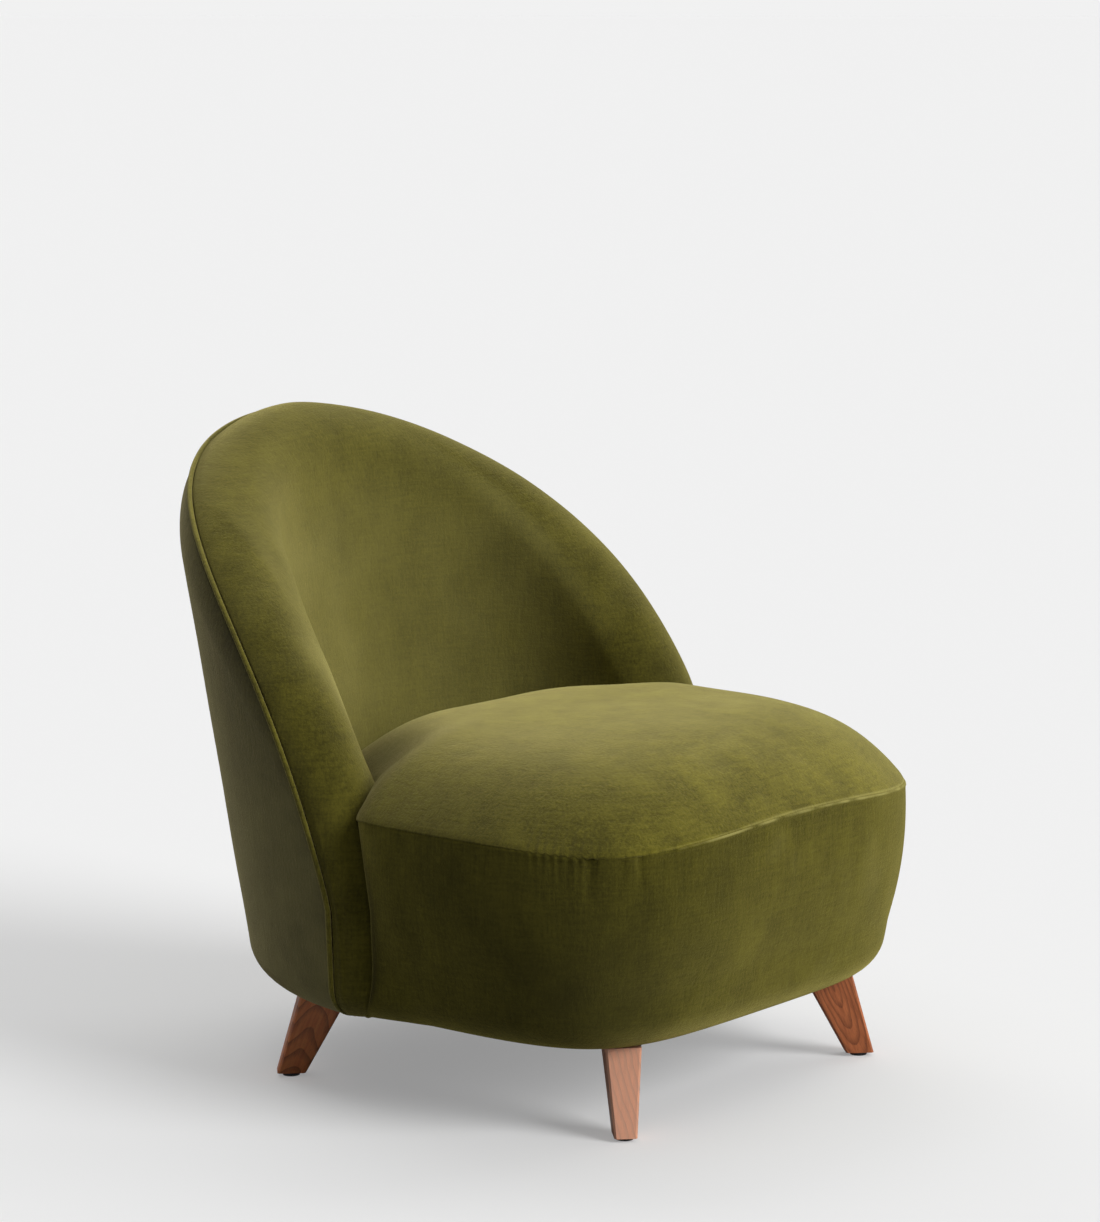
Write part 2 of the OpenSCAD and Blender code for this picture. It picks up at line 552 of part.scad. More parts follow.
// Band across the back from arch to arch, between two heights and two depths
module cross_band(low, width, inner, outer) {
    end = edge_s(low + width, hoop_in + hoop_w + 4*gap);
    bar([for (i = [0:web_steps]) let (s = end*(2*i/web_steps - 1))
        [tub(s, low, inner), tub(s, low, outer), tub(s, low + width, outer), tub(s, low + width, inner)]]);
}
module back_rail() color(timber) cross_band(rail_z, rail_w, slat_out + 3*gap, frame_out - skin_bulge);
web_pitch = 2*web_w;
module back_webbing() color(felt) for (i = [0:web_n - 1])
    cross_band(seam_z + i*web_pitch, web_w, frame_in - 2*gap - web_t, frame_in - 2*gap);

board_in = frame_out + 6*gap;
board_lap = 2;
board_edge = hoop_in + hoop_bevel + board_lap;
module back_board() {
    function rows(n) = concat([pad_row(board_edge, n, 0, pad_low), pad_row(pad_r, n, 0, pad_low)],
        field_rows(n, pad_low));
    color(board) skin(rows(board_in), rows(board_in + board_t), true);
}
// Between straight webbing and round foam there is room for the webbing's flats
foam_in = frame_in - web_t - 3*gap - skin_bulge;
padding_slack = 3;
padding_r = foam_r - padding_slack;
foam_end_angle = asin((board_in + board_t)/padding_r);
module inside_back_foam() {
    function foot_share(c) = let (i = min(c, cols - 1 - c)) i < side_n ? 1 - side_shares[i] : 0;
    function outer_r(c, i) = i == 0 ? padding_r : foam_r - (padding_slack + cover_t)*foot_share(c);
    outer = [for (i = [0:nose_n]) [for (c = [0:cols - 1])
        nose_point(c, outer_r(c, i), mix(foam_end_angle, -90, i/nose_n), pad_low)]];
    inner = [[hoop_in + hoop_bevel, board_in], [hoop_in - gap, frame_out - hoop_bevel],
        [hoop_in - gap, frame_in + hoop_bevel], [hoop_in + hoop_bevel - gap, foam_in],
        [hoop_in + hoop_w/2, foam_in], [pad_r, foam_in]];
    color(foam) skin(concat(outer, field_rows(-foam_r, pad_low)),
        concat([for (p = inner) pad_row(p[0], p[1], 0, pad_low)], field_rows(foam_in, pad_low)), true);
}
module outside_back_padding() {
    low = board_in + board_t + 3*gap;
    start = asin((low + board_t/2)/padding_r);
    outer = [for (i = [0:turn_n - 1]) [for (c = [0:cols - 1])
        nose_point(c, padding_r, mix(start, 90, i/(turn_n - 1)), pad_low)]];
    inner = [for (i = [0:turn_n - 1]) [for (c = [0:cols - 1])
        pad_point(c, nose_depth(c, padding_r, mix(start, 90, i/(turn_n - 1)), pad_low), low, 0, pad_low)]];
    color(felt) skin(concat(inner, field_rows(low, pad_low)),
        concat(outer, field_rows(padding_r, pad_low)), true);
}
// The inside cover wraps the rim: below the padding it goes on down only round the outer face of the arms
arm_face_angle = 15;
function cover_foot(a) = a > arm_face_angle ? body_z : pad_low;
module inside_back_cover() {
    last = mix(foam_end_angle, -90, 1/nose_n);
    function row(r, share) = [for (c = [0:cols - 1])
        let (a = mix(last, pipe_angle(c) - pipe_half_angle, share)) nose_point(c, r, a, cover_foot(a))];
    function rows(r) = concat([row(r, 1), row(r, 1/2), row(r, 0)],
        [for (i = [2:nose_n]) let (a = mix(foam_end_angle, -90, i/nose_n))
            [for (c = [0:cols - 1]) nose_point(c, r, a, cover_foot(a))]],
        field_rows(-r, pad_low));
    color(velvet) skin(rows(pad_r), rows(pad_r - cover_t), true);
}
module outside_back_cover() {
    function rows(r) = concat([for (i = [0:turn_n]) [for (c = [0:cols - 1])
        nose_point(c, r, mix(pipe_angle(c) + pipe_half_angle, 90, i/turn_n), body_z)]],
        field_rows(r, body_z));
    color(velvet) skin(rows(pad_r - cover_t), rows(pad_r), true);
}
pipe_sides = 8;
pipe_r = pad_r - cover_t + pipe_d/2;
module back_piping() color(velvet) bar([for (c = [0:cols - 1]) [for (i = [0:pipe_sides - 1])
    let (a = -i*360/pipe_sides, r = pipe_r + pipe_d/2*cos(a), turn = degrees(pipe_d/2*sin(a), pipe_r))
    nose_point(c, r, pipe_angle(c) + turn, body_z)]]);

dust_inset = base_inset + bottom_r/2;
module dust_cover() color(black) translate([0, 0, body_z + gap]) linear_extrude(dust_t) difference() {
    half = concat([for (i = [0:front_steps/2]) front_inset(i*180/front_steps, dust_inset)],
        [[seat_w/2 - dust_inset, arm_foot_y]],
        [for (i = [0:back_steps/2]) let (p = tub((half_wrap - pad_r/2)*(1 - i*2/back_steps), body_z,
            base_out*2/3)) [p[0], p[1]]]);
    polygon(concat(half, [for (i = [len(half) - 2:-1:1]) [-half[i][0], half[i][1]]]));
    for (p = bolt_places) translate(p) circle(d = bolt_d + 2*gap);
}

// Section of a leg as a rectangle with bevelled corners, w along its diagonal and t across
function leg_section(w, t) = let (x = w/2, y = t/2, b = leg_bevel)
    [[x, b - y], [x, y - b], [x - b, y], [b - x, y], [-x, y - b], [-x, b - y], [b - x, -y], [x - b, -y]];
function placed(points, at, u, z) = [for (p = points)
    [at[0] + p[0]*u[0] - p[1]*u[1], at[1] + p[0]*u[1] + p[1]*u[0], z]];
module leg(i) {
    foot = leg_feet[i];
    u = outwards(foot);
    color(stained_oak) difference() {
        bar([placed(leg_section(leg_foot_w, leg_foot_t), foot, u, glide_t),
            placed(leg_section(leg_top_w, leg_top_t), foot - u*leg_splay, u, leg_top)]);
        translate([bolt_places[i][0], bolt_places[i][1], leg_top - bolt_in])
            cylinder(d = bolt_d, h = bolt_in + overrun);
        translate([foot[0], foot[1], glide_t - overrun]) cylinder(d = nail_d, h = nail_l + overrun);
    }
}
module leg_front_left() leg(0);
module leg_front_right() leg(1);
module leg_rear_left() leg(2);
module leg_rear_right() leg(3);
module hanger_bolts() color(steel) for (p = bolt_places) translate([p[0], p[1], leg_top - bolt_in])
    cylinder(d = bolt_d, h = base_top + nut_flange_t - leg_top + bolt_in);
module tee_nuts() color(steel) for (p = bolt_places) translate([p[0], p[1], base_z]) difference() {
    union() {
        cylinder(d = nut_barrel_d, h = ply_t + nut_flange_t);
        translate([0, 0, ply_t]) cylinder(d = nut_flange_d, h = nut_flange_t);
    }
    translate([0, 0, -overrun]) cylinder(d = bolt_d, h = ply_t + nut_flange_t + 2*overrun);
}
nail_d = 2.5;
nail_l = 14;
module glides() color(black) for (p = leg_feet) translate([p[0], p[1], 0]) {
    cylinder(d = glide_d, h = glide_t);
    cylinder(d = nail_d, h = glide_t + nail_l);
}

base_frame();
seat_frame();
seat_studs();
spring_clips();
seat_springs();
tie_wires();
spring_pad();
seat_foam();
border_foam();
seat_cover();
border_cover();
back_hoop();
back_slats();
back_rail();
back_webbing();
back_board();
inside_back_foam();
outside_back_padding();
inside_back_cover();
outside_back_cover();
back_piping();
dust_cover();
leg_front_left();
leg_front_right();
leg_rear_left();
leg_rear_right();
hanger_bolts();
tee_nuts();
glides();
frame_screws();
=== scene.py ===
import bmesh
import bpy
from bisect import bisect_left
from math import asin, copysign, cos, degrees, exp, hypot, pi, radians, sin, sqrt
from mathutils import Matrix, Vector, noise


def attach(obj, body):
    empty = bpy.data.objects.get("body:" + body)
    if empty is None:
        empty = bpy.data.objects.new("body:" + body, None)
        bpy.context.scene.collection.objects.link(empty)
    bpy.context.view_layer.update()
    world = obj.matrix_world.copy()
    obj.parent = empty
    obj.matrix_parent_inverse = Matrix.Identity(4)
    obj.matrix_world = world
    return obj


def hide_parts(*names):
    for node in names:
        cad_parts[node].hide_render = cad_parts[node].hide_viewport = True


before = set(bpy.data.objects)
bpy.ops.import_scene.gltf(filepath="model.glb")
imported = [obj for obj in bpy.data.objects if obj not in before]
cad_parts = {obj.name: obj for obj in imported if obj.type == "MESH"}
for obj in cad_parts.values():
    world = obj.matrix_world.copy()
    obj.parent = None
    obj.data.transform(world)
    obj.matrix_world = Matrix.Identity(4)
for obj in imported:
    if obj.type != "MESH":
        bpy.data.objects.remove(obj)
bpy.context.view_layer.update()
print("frame loaded")

camera = {
    "azimuth": -50.2504,  # degrees round the chair from its front
    "elevation": 9.0210,
    "distance": 4.7326,
    "target": (0.0682, 0.0115, 0.54565),
    "lens": 110.67,
    "sensor": 36,
    "farthest": 10000,
}


def addCamera():
    data = bpy.data.cameras.new("camera")
    data.lens = camera["lens"]
    data.sensor_width = camera["sensor"]
    data.clip_end = camera["farthest"]
    eye = bpy.data.objects.new("camera", data)
    bpy.context.collection.objects.link(eye)
    around, up = radians(camera["azimuth"]), radians(camera["elevation"])
    back = Vector((sin(around) * cos(up), -cos(around) * cos(up), sin(up)))
    eye.location = Vector(camera["target"]) + back * camera["distance"]
    eye.rotation_euler = back.to_track_quat("Z", "Y").to_euler()
    bpy.context.scene.camera = eye


addCamera()
print("camera placed")

# the tub: a padded wall bent round the seat, leaning back and widening upwards
tub = {
    "height": 0.790,
    "width": 0.757,
    "depth": 0.870,
    "underside": 0.105,
    "plateTop": 0.127,
    "padding": 0.117,
    "knee": 0.243,  # where the arms' edges begin to curve back
    "armLength": 0.051,
    "lean": 0.166,
    "flare": 0.171,
    "widest": 0.152,
    "archSides": 1.71,
    "archTop": 1.96,
    "upright": 0.1,  # share of the rim's run, at each end, that stands upright
    "bottomRound": 0.042,
    "pipingOnArm": 85,  # degrees from the rim's crest outwards
    "pipingOnTop": 40,
    "piping": 0.006,
    "air": 0.0003,  # between skins that meet
}
padR = tub["padding"] / 2
tubR = tub["width"] / 2 / (1 + tub["flare"] * tub["widest"]) - padR
halfWrap = tubR * pi / 2
wrapS = halfWrap + tub["armLength"]
archH = tub["height"] - tub["knee"]
tubY = tub["depth"] / 2 - padR - tubR - tub["lean"] * (archH - padR)
seamTurn = degrees((tub["piping"] / 2 + tub["air"]) / padR)  # from the piping's middle to the covers beside it


def mix(a, b, t):
    return a + (b - a) * t


def clamp(t):
    return max(0.0, min(1.0, t))


def ease(t):
    t = clamp(t)
    return t * t * (3 - 2 * t)


def climb(v, start, end):  # smoothly from 0 at start to 1 at end, which may be the lower
    return ease((v - start) / (end - start))


def bell(t):
    return exp(-t * t)


def power(v, e):
    return copysign(abs(v) ** e, v)


def fromLine(p, a, b):  # share of the way from a to b, and the distance from that line
    a, b = Vector(a), Vector(b)
    along = clamp((p - a).dot(b - a) / (b - a).length_squared)
    return along, (p - a.lerp(b, along)).length


def roundInset(z):
    low = clamp((tub["underside"] + tub["bottomRound"] - z) / tub["bottomRound"])
    return tub["bottomRound"] * (1 - sqrt(1 - low * low))


def squeeze(z):
    return 1 - roundInset(z) / padR


def flare(z):
    return 1 + tub["flare"] * (z - tub["knee"]) / tub["height"]


def tubPoint(s, z, n):  # s along the wrap, z up, n out from the middle of the padding
    along = min(abs(s), halfWrap)
    turn = along / tubR
    r = tubR + (n * squeeze(z) if n > 0 else n)
    return Vector((copysign(1, s) * r * sin(turn) * flare(z),
                   tubY + r * cos(turn) - abs(s) + along + tub["lean"] * (z - tub["knee"]), z))


def rimAt(u, low):  # u from -1 to 1, one arm's foot over the top to the other's
    over = 1 - tub["upright"]
    if abs(u) > over:
        z = mix(low, tub["knee"], (1 - abs(u)) / tub["upright"])
        return copysign(wrapS + tub["lean"] * (z - tub["knee"]), u), z
    a = radians(90 * u / over)
    rise = archH * max(0, cos(a)) ** (2 / tub["archTop"])
    return wrapS * power(sin(a), 2 / tub["archSides"]), tub["knee"] + rise


def padPoint(u, d, n, share, low):  # d in from the rim, or at a share of the way to the bottom's middle
    s, z = rimAt(u, low)
    over = max(0.0, z - tub["knee"])
    t = mix(d / (hypot(s, over) if over > 0 else abs(s)), 1, share)
    return tubPoint(s * (1 - t), z - over * t, n)


def nosePoint(u, r, angle, low):  # on the rounded rim, angle in degrees from its crest
    a = radians(angle)
    return padPoint(u, padR - r * cos(a) * squeeze(rimAt(u, low)[1]), r * sin(a), 0, low)


def pipingAngle(u):
    rise = rimAt(u, tub["underside"])[1] - tub["knee"] - tub["bottomRound"]
    return mix(tub["pipingOnArm"], tub["pipingOnTop"], ease(rise / (archH - tub["padding"])))


# the seat: its outline in front, the seam of its top and border, and its crown
seat = {
    "width": 0.722,
    "roundDepth": 0.317,
    "sidePower": 3.66,
    "frontPower": 3.11,
    "measures": 2000,  # steps in which the outline's length is measured
    "seam": 0.356,
    "seamRise": 0.007,
    "seamRiseWidth": 0.8,
    "seamDip": 0.0105,
    "crown": 0.094,
    "crownPower": 4.66,
    "crownRoll": 0.190,  # how far in from the tub's wall the crown begins to fall
    "crownBack": 0.039,
    "fallStart": 0.06,  # how far in front of the tub's middle that fall begins
    "fallRun": 0.15,  # and how far behind that it is full
    "sink": 0.026,
    "armTuck": 0.0225,  # how far the sides turn in at the arms, out at the bottom
    "swell": 0.006,
    "taper": 0.0125,
    "tuck": 0.02075,
    "hub": 0.28,  # the crown's highest point, as a share of the round front's depth
}
frontY = -tub["depth"] / 2 + seat["swell"] / 5
roundY = frontY + seat["roundDepth"]
halfW = seat["width"] / 2


def outline(a):
    return Vector((halfW * sin(a) ** (2 / seat["sidePower"]),
                   frontY + seat["roundDepth"] * (1 - max(0, cos(a)) ** (2 / seat["frontPower"]))))


def runOf(steps):  # lengths along the front outline, to space its points evenly
    run, last = [0.0], outline(0)
    for i in range(1, steps + 1):
        here = outline(radians(90) * i / steps)
        run.append(run[-1] + (here - last).length)
        last = here
    return run


outlineRun = runOf(seat["measures"])
frontRun = outlineRun[-1]


def outlineAngle(share):
    want = share * frontRun
    i = max(1, min(len(outlineRun) - 1, bisect_left(outlineRun, want)))
    part = (want - outlineRun[i - 1]) / (outlineRun[i] - outlineRun[i - 1])
    return radians(90) * (i - 1 + part) / (len(outlineRun) - 1)


def frontPoint(share, inset):
    a, step = outlineAngle(share), 0.002
    if a < step:
        return Vector((outline(a).x, frontY + inset))
    if a > pi / 2 - step:
        return Vector((halfW - inset, outline(a).y))
    run = (outline(a + step / 2) - outline(a - step / 2)).normalized()
    return outline(a) + inset * Vector((-run.y, run.x))


def seamHeight(x, y):
    side = min(1, abs(x) / halfW)
    front = clamp((roundY - y) / seat["roundDepth"])
    rise = cos(pi / 2 * min(1, side / seat["seamRiseWidth"]))
    return (seat["seam"] + seat["seamRise"] * rise ** 3 * ease(front)
            - seat["seamDip"] * min(1, 4 * (side * front) ** 4))


def edgeS(z, d):  # place along the wrap of an arm's edge, d in from the rim
    if z <= tub["knee"]:
        return wrapS + tub["lean"] * (z - tub["knee"]) - d
    over, top, sides = z - tub["knee"], tub["archTop"], 1 / tub["archSides"]
    s = wrapS * (1 - (over / archH) ** top) ** sides
    k = 1 - d / hypot(s, over)
    return k * wrapS * max(0, 1 - (over / (k * archH)) ** top) ** sides


def besideArm(z, angle, clear):
    r, a = padR + clear, radians(angle)
    return tubPoint(edgeS(z, padR - r * cos(a) * squeeze(z)), z, r * sin(a))


def meetAngle(x, z, clear):
    n = x / flare(z) - tubR
    return degrees(asin(max(-1, min(1, n / (squeeze(z) if n > 0 else 1) / (padR + clear)))))


def sideUp(z):  # share of the way from the underside up to the seam
    return clamp((z - tub["underside"]) / (seat["seam"] - tub["underside"]))


def sideX(z, share, inset):
    up = sideUp(z)
    return halfW - inset - seat["armTuck"] * (up ** 3 - (1 - up) ** 6) * share ** 4


def sideEnd(z, inset, clear):
    return besideArm(z, meetAngle(sideX(z, 1, inset), z, clear), clear).y


armFront = sideEnd(seat["seam"], 0, tub["air"])
wallZ = seat["seam"] + seat["crown"] / 2
wallIn = (tubR - padR) * flare(wallZ)
wallY = tubY + tub["lean"] * (wallZ - tub["knee"])
levelY = roundY + seat["crownBack"]


def wallFall(x, y):  # how far the crown has fallen beside the tub's wall, from 0 to 1
    near = clamp(1 - (wallIn - hypot(x, max(0, y - wallY))) / seat["crownRoll"])
    return near ** 3 * ease((y - tubY + seat["fallStart"]) / seat["fallRun"])


def crownHeight(x, y):  # full in front, falling away towards the tub's wall and the back
    share = clamp((y - roundY) / (armFront - roundY))
    reach = ((abs(x) / sideX(seat["seam"], share, 0)) ** seat["sidePower"]
             + max(0, (roundY - y) / seat["roundDepth"]) ** seat["frontPower"])
    reach = min(1, reach ** (2 / (seat["sidePower"] + seat["frontPower"])))
    back = max(0, (y - levelY) / (wallY + wallIn - levelY))
    left = (1 - wallFall(x, y)) * (1 - back * back)
    sink = seat["sink"] * ease((y - armFront) / seat["crownRoll"])
    return seamHeight(x, y) - sink + left * (seat["crown"] * (1 - reach ** seat["crownPower"]) + sink)


def seatPlan(t, z, inset, clear):  # half the seat's plan: 0-1 front, 1-2 side, 2-3 arm's edge, 3-4 tub
    if t <= 1:
        return frontPoint(t, inset)
    edge = meetAngle(sideX(z, 1, inset), z, clear)
    if t < 2:
        return Vector((sideX(z, t - 1, inset), mix(roundY, besideArm(z, edge, clear).y, t - 1)))
    if t <= 3:
        return besideArm(z, mix(edge, -90, t - 2), clear).xy
    return tubPoint(edgeS(z, padR) * (4 - t), z, -padR - clear).xy


def planPlace(c, columns, bunch=1.0):  # column to place in the half plan; bunch crowds the side's to the arm
    for part, count in enumerate(columns):
        if c <= count:
            run = c / count
            return part + (1 - (1 - run) ** bunch if part == 1 else run)
        c -= count


class Wire:  # a socket that can be written in sums
    def __init__(self, paint, socket):
        self.paint = paint
        self.socket = socket

    def calc(self, operation, a, b=0.0):
        return self.paint.node("ShaderNodeMath", {"operation": operation}, {0: a, 1: b})

    def wave(self, operation="SINE"):  # its sine, cosine or fraction
        return self.calc(operation, self)

    def __add__(self, other):
        return self.calc("ADD", self, other)

    __radd__ = __add__

    def __mul__(self, other):
        return self.calc("MULTIPLY", self, other)

    __rmul__ = __mul__

    def __sub__(self, other):
        return self.calc("SUBTRACT", self, other)

    def __rsub__(self, other):
        return self.calc("SUBTRACT", other, self)

    def __truediv__(self, other):
        return self.calc("DIVIDE", self, other)

    def __rtruediv__(self, other):
        return self.calc("DIVIDE", other, self)

    def __pow__(self, other):
        return self.calc("POWER", self, other)

    def __rpow__(self, other):
        return self.calc("POWER", other, self)


class Paint:  # the nodes of a material or of the sky
    def __init__(self, owner):
        self.owner = owner
        owner.use_nodes = True
        self.tree = owner.node_tree
        self.tree.nodes.clear()

    def node(self, kind, settings=None, inputs=None, output=0):
        made = self.tree.nodes.new(kind)
        for key, value in (settings or {}).items():
            setattr(made, key, value)
        for key, value in (inputs or {}).items():
            if isinstance(value, Wire):
                self.tree.links.new(value.socket, made.inputs[key])
            else:
                made.inputs[key].default_value = value
        return Wire(self, made.outputs[output])

    def place(self, scale=(1, 1, 1), at=(0, 0, 0), turn=(0, 0, 0)):  # object coordinates, moved, turned, scaled
        where = self.node("ShaderNodeTexCoord", output="Object")
        if at != (0, 0, 0) or tuple(turn) != (0, 0, 0):
            where = self.node("ShaderNodeMapping", {"vector_type": "TEXTURE"},
                              {"Vector": where, "Location": at, "Rotation": turn})
        if scale == (1, 1, 1):
            return where
        return self.node("ShaderNodeMapping", None, {"Vector": where, "Scale": scale})

    def split(self, vector):
        first = self.node("ShaderNodeSeparateXYZ", None, {0: vector})
        return [Wire(self, part) for part in first.socket.node.outputs]

    def blend(self, factor, a, b):
        colors = {6 + i: c if isinstance(c, Wire) else (*c, 1) for i, c in enumerate((a, b))}
        return self.node("ShaderNodeMix", {"data_type": "RGBA"}, {0: factor, **colors}, 2)

    def spots(self, where, scale, detail=3, rough=0.55):
        return self.node("ShaderNodeTexNoise", None,
                         {"Vector": where, "Scale": scale, "Detail": detail, "Roughness": rough}, "Fac")

    def spread(self, value, low, high):  # 0 below low, 1 above high
        return self.node("ShaderNodeMapRange", None,
                         {"Value": value, "From Min": low, "From Max": high, "To Min": 0.0, "To Max": 1.0})

    def bump(self, height, depth, strength=1.0):
        return self.node("ShaderNodeBump", None, {"Height": height, "Distance": depth, "Strength": strength})

    def surface(self, inputs):
        return self.close(self.node("ShaderNodeBsdfPrincipled", None, inputs, "BSDF"))

    def close(self, shader, end="ShaderNodeOutputMaterial"):
        last = self.tree.nodes.new(end)
        self.tree.links.new(shader.socket, last.inputs["Surface"])
        return self.owner


def newPaint(name):
    return Paint(bpy.data.materials.new(name))


def weigh(layers, weights):
    return sum(layers[name] * weight for name, weight in weights.items())


velvet = {
    "deep": (0.036, 0.032, 0.0018),
    "worn": (0.108, 0.095, 0.0085),
    "paintedHighlight": (0.300, 0.270, 0.085),  # painted highlight, for marks above 0
    "paintedShade": (0.010, 0.009, 0.001),  # painted shade in seams, folds and other shaded places, for marks below 0
    "grey": 0.06,  # what these colours fade towards on the outside
    "sheen": 0.56,
    "sheenRoughness": 0.55,
    "sheenTint": (1.0, 0.87, 0.36),
    "greySheen": 0.7,
    "roughness": 0.95,
    "wornShine": 0.12,  # how much smoother the worn pile is
    "specular": 0.08,
    "clouds": 6.0,  # where the pile has been brushed another way, per metre
    "strokes": 24.0,
    "grain": 300.0,
    "pile": 1400.0,
    "tone": {"clouds": 0.17, "strokes": 0.25, "weave": 0.16, "grain": 0.26},  # what each adds to the colour
    "toneRange": (0.415, 0.585),
    "relief": {"strokes": 0.5, "grain": 0.28, "weave": 0.14, "pile": 0.1},  # and to the bump
    "reliefDepth": 0.0028,
    "reliefStrength": 0.8,
}


# its first number lightens or darkens a piece's copy to match how that piece is lit: painted light and shade
def velvetPaint(name, paintedLightScale=1.0, sheen=1.0, grey=0.0, blue=1.0):
    paint = newPaint(name)
    where = paint.place()
    warp = paint.spots(paint.place((1.0, 1.0, 0.1)), velvet["grain"], 2, 0.6)
    weft = paint.spots(paint.place((0.12, 0.12, 1.0)), velvet["grain"], 2, 0.6)
    layers = {
        "clouds": paint.spots(where, velvet["clouds"], 3, 0.5),
        "strokes": paint.spots(paint.place((1.0, 1.0, 0.45)), velvet["strokes"], 5, 0.62),
        "weave": warp + weft,
        "grain": paint.spots(where, velvet["grain"], 3, 0.75),
        "pile": paint.spots(where, velvet["pile"], 1, 0.6),
    }
    nap = paint.spread(weigh(layers, velvet["tone"]), *velvet["toneRange"])
    deep, worn, paintedHighlight = ([mix(part * paintedLightScale, velvet["grey"] * paintedLightScale, grey) for part in velvet[tone]]
                          for tone in ("deep", "worn", "paintedHighlight"))
    # the vertex marks paint highlights and shade into the colour, besides some random pile tone
    lightAndPile = paint.node("ShaderNodeAttribute", {"attribute_name": "lightAndPile"}, None, "Fac")
    color = paint.blend(nap, deep, worn)
    color = paint.blend(paint.spread(lightAndPile, 0.0, 1.0), color, paintedHighlight)
    color = paint.blend(paint.spread(lightAndPile, 0.0, -1.0), color, velvet["paintedShade"])
    tint = velvet["sheenTint"]
    return paint.surface({
        "Base Color": color,
        "Roughness": velvet["roughness"] - nap * velvet["wornShine"],
        "Normal": paint.bump(weigh(layers, velvet["relief"]), velvet["reliefDepth"], velvet["reliefStrength"]),
        "Specular IOR Level": velvet["specular"],
        "Sheen Weight": velvet["sheen"] * sheen,
        "Sheen Roughness": velvet["sheenRoughness"],
        "Sheen Tint": (tint[0], tint[1], mix(tint[2] * blue, velvet["greySheen"], grey), 1),
    })


def fromGrid(columns, rows, place):  # a sheet whose points are put in place by column and row
    bm = bmesh.new()
    bm.loops.layers.uv.new("flat")
    bmesh.ops.create_grid(bm, x_segments=columns, y_segments=rows, size=1, calc_uvs=True)
    for v in bm.verts:
        v.co = place(round((v.co.x + 1) / 2 * columns), round((v.co.y + 1) / 2 * rows))
    bmesh.ops.remove_doubles(bm, verts=bm.verts, dist=0.00002)
    return bm


def paintLightAndPile(bm, shade):  # painted highlight above 0, painted shade below, with some random pile tone
    layer = bm.verts.layers.float.new("lightAndPile")
    for v in bm.verts:
        v[layer] = shade(v.co)


def undulate(bm, size, depth, seed):  # the slight unevenness of padding under cloth
    bm.normal_update()
    for v in bm.verts:
        free = ease((v.co.z - tub["underside"] - 0.003) / 0.03)
        v.co += v.normal * depth * free * noise.noise(v.co / size + Vector((seed, 0, 0)))


def addPiece(bm, name, paint, wall=0.0, turned=False):
    if turned:
        bmesh.ops.reverse_faces(bm, faces=bm.faces)
    mesh = bpy.data.meshes.new(name)
    bm.to_mesh(mesh)
    bm.free()
    for face in mesh.polygons:
        face.use_smooth = True
    piece = bpy.data.objects.new(name, mesh)
    bpy.context.collection.objects.link(piece)
    mesh.materials.append(paint)
    if wall:
        thick = piece.modifiers.new("wall", "SOLIDIFY")
        thick.thickness = wall
        thick.offset = -1
    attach(piece, "root")
    return piece


# one velvet copied for each piece and made lighter, darker or greyer to match how that piece is lit: painted
# light and shade; the piping's lighter copy is a painted highlight
backVelvet = velvetPaint("velvet back", paintedLightScale=0.86, sheen=0.88, blue=0.85)
outerVelvet = velvetPaint("velvet outside", paintedLightScale=0.85, sheen=1.05, grey=0.3)
pipingVelvet = velvetPaint("velvet piping", paintedLightScale=1.3, sheen=1.2)
seatVelvet = velvetPaint("velvet seat", paintedLightScale=1.6, sheen=0.93)
borderVelvet = velvetPaint("velvet border", paintedLightScale=0.96, sheen=0.9, blue=0.7)

cover = {
    "hem": 3,  # columns at each end that turn under
    "bottom": 12,  # columns round the bottom edge, up to the knee, and over the arch to the top
    "foot": 14,
    "arch": 110,
    "edge": 12,  # rows beside the piping, round the rim inside and outside, and over the flat
    "round": 26,
    "outerRound": 16,
    "field": 34,
    "wall": 0.0015,
    "hemDepth": 0.002,  # how near the padding's middle the hem ends
    "groove": 0.004,
    "grooveTurn": 0.6,  # how far the covers turn in under the piping
    "outside": 15,  # degrees past the crest from which the cloth goes down to the underside
    "edgeTurn": 22,
    "foldAngle": 8.5,  # a narrow fold beside the piping, low on the arms
    "foldWidth": 2.6,
    "foldRise": 0.16,  # above the knee, where it has run out
    "fold": 0.0016,
    "soft": 0.008,  # extra fullness inside the wings, growing and fading between these heights
    "softGrows": (0.42, 0.54),
    "softFades": (0.74, 0.64),
    "insideUneven": (0.09, 0.0008, 3),  # size, depth and seed
    "outsideUneven": (0.12, 0.001, 7),
}
rimColumns = 2 * (cover["hem"] + cover["bottom"] + cover["foot"] + cover["arch"])
# painted light and shade inside the back: lighter below the top and in the middle, painted highlights along the
# streaks, painted shade low at the front, on the near wing and on the far side
insidePaintedLight = {
    "all": 0.25,
    "middle": 0.1,
    "low": -0.25,
    "wing": -0.17,
    "far": -0.18,
    "streaks": (  # painted highlight down one wing and on the back beside it: width, strength, line
        (0.034, 0.75, ((-0.262, 0.150, 0.735), (-0.262, 0.110, 0.650),
                       (-0.262, 0.075, 0.570), (-0.262, 0.055, 0.460))),
        (0.060, 0.15, ((-0.125, 0.290, 0.690), (-0.105, 0.276, 0.606),
                       (-0.055, 0.285, 0.560), (-0.040, 0.270, 0.440))),
    ),
}
# painted light on the outside back: lighter towards the bottom and the front, unevenly
outsidePaintedLight = {"low": 0.6, "front": 0.12, "cloudy": 0.6, "flecked": 0.4}


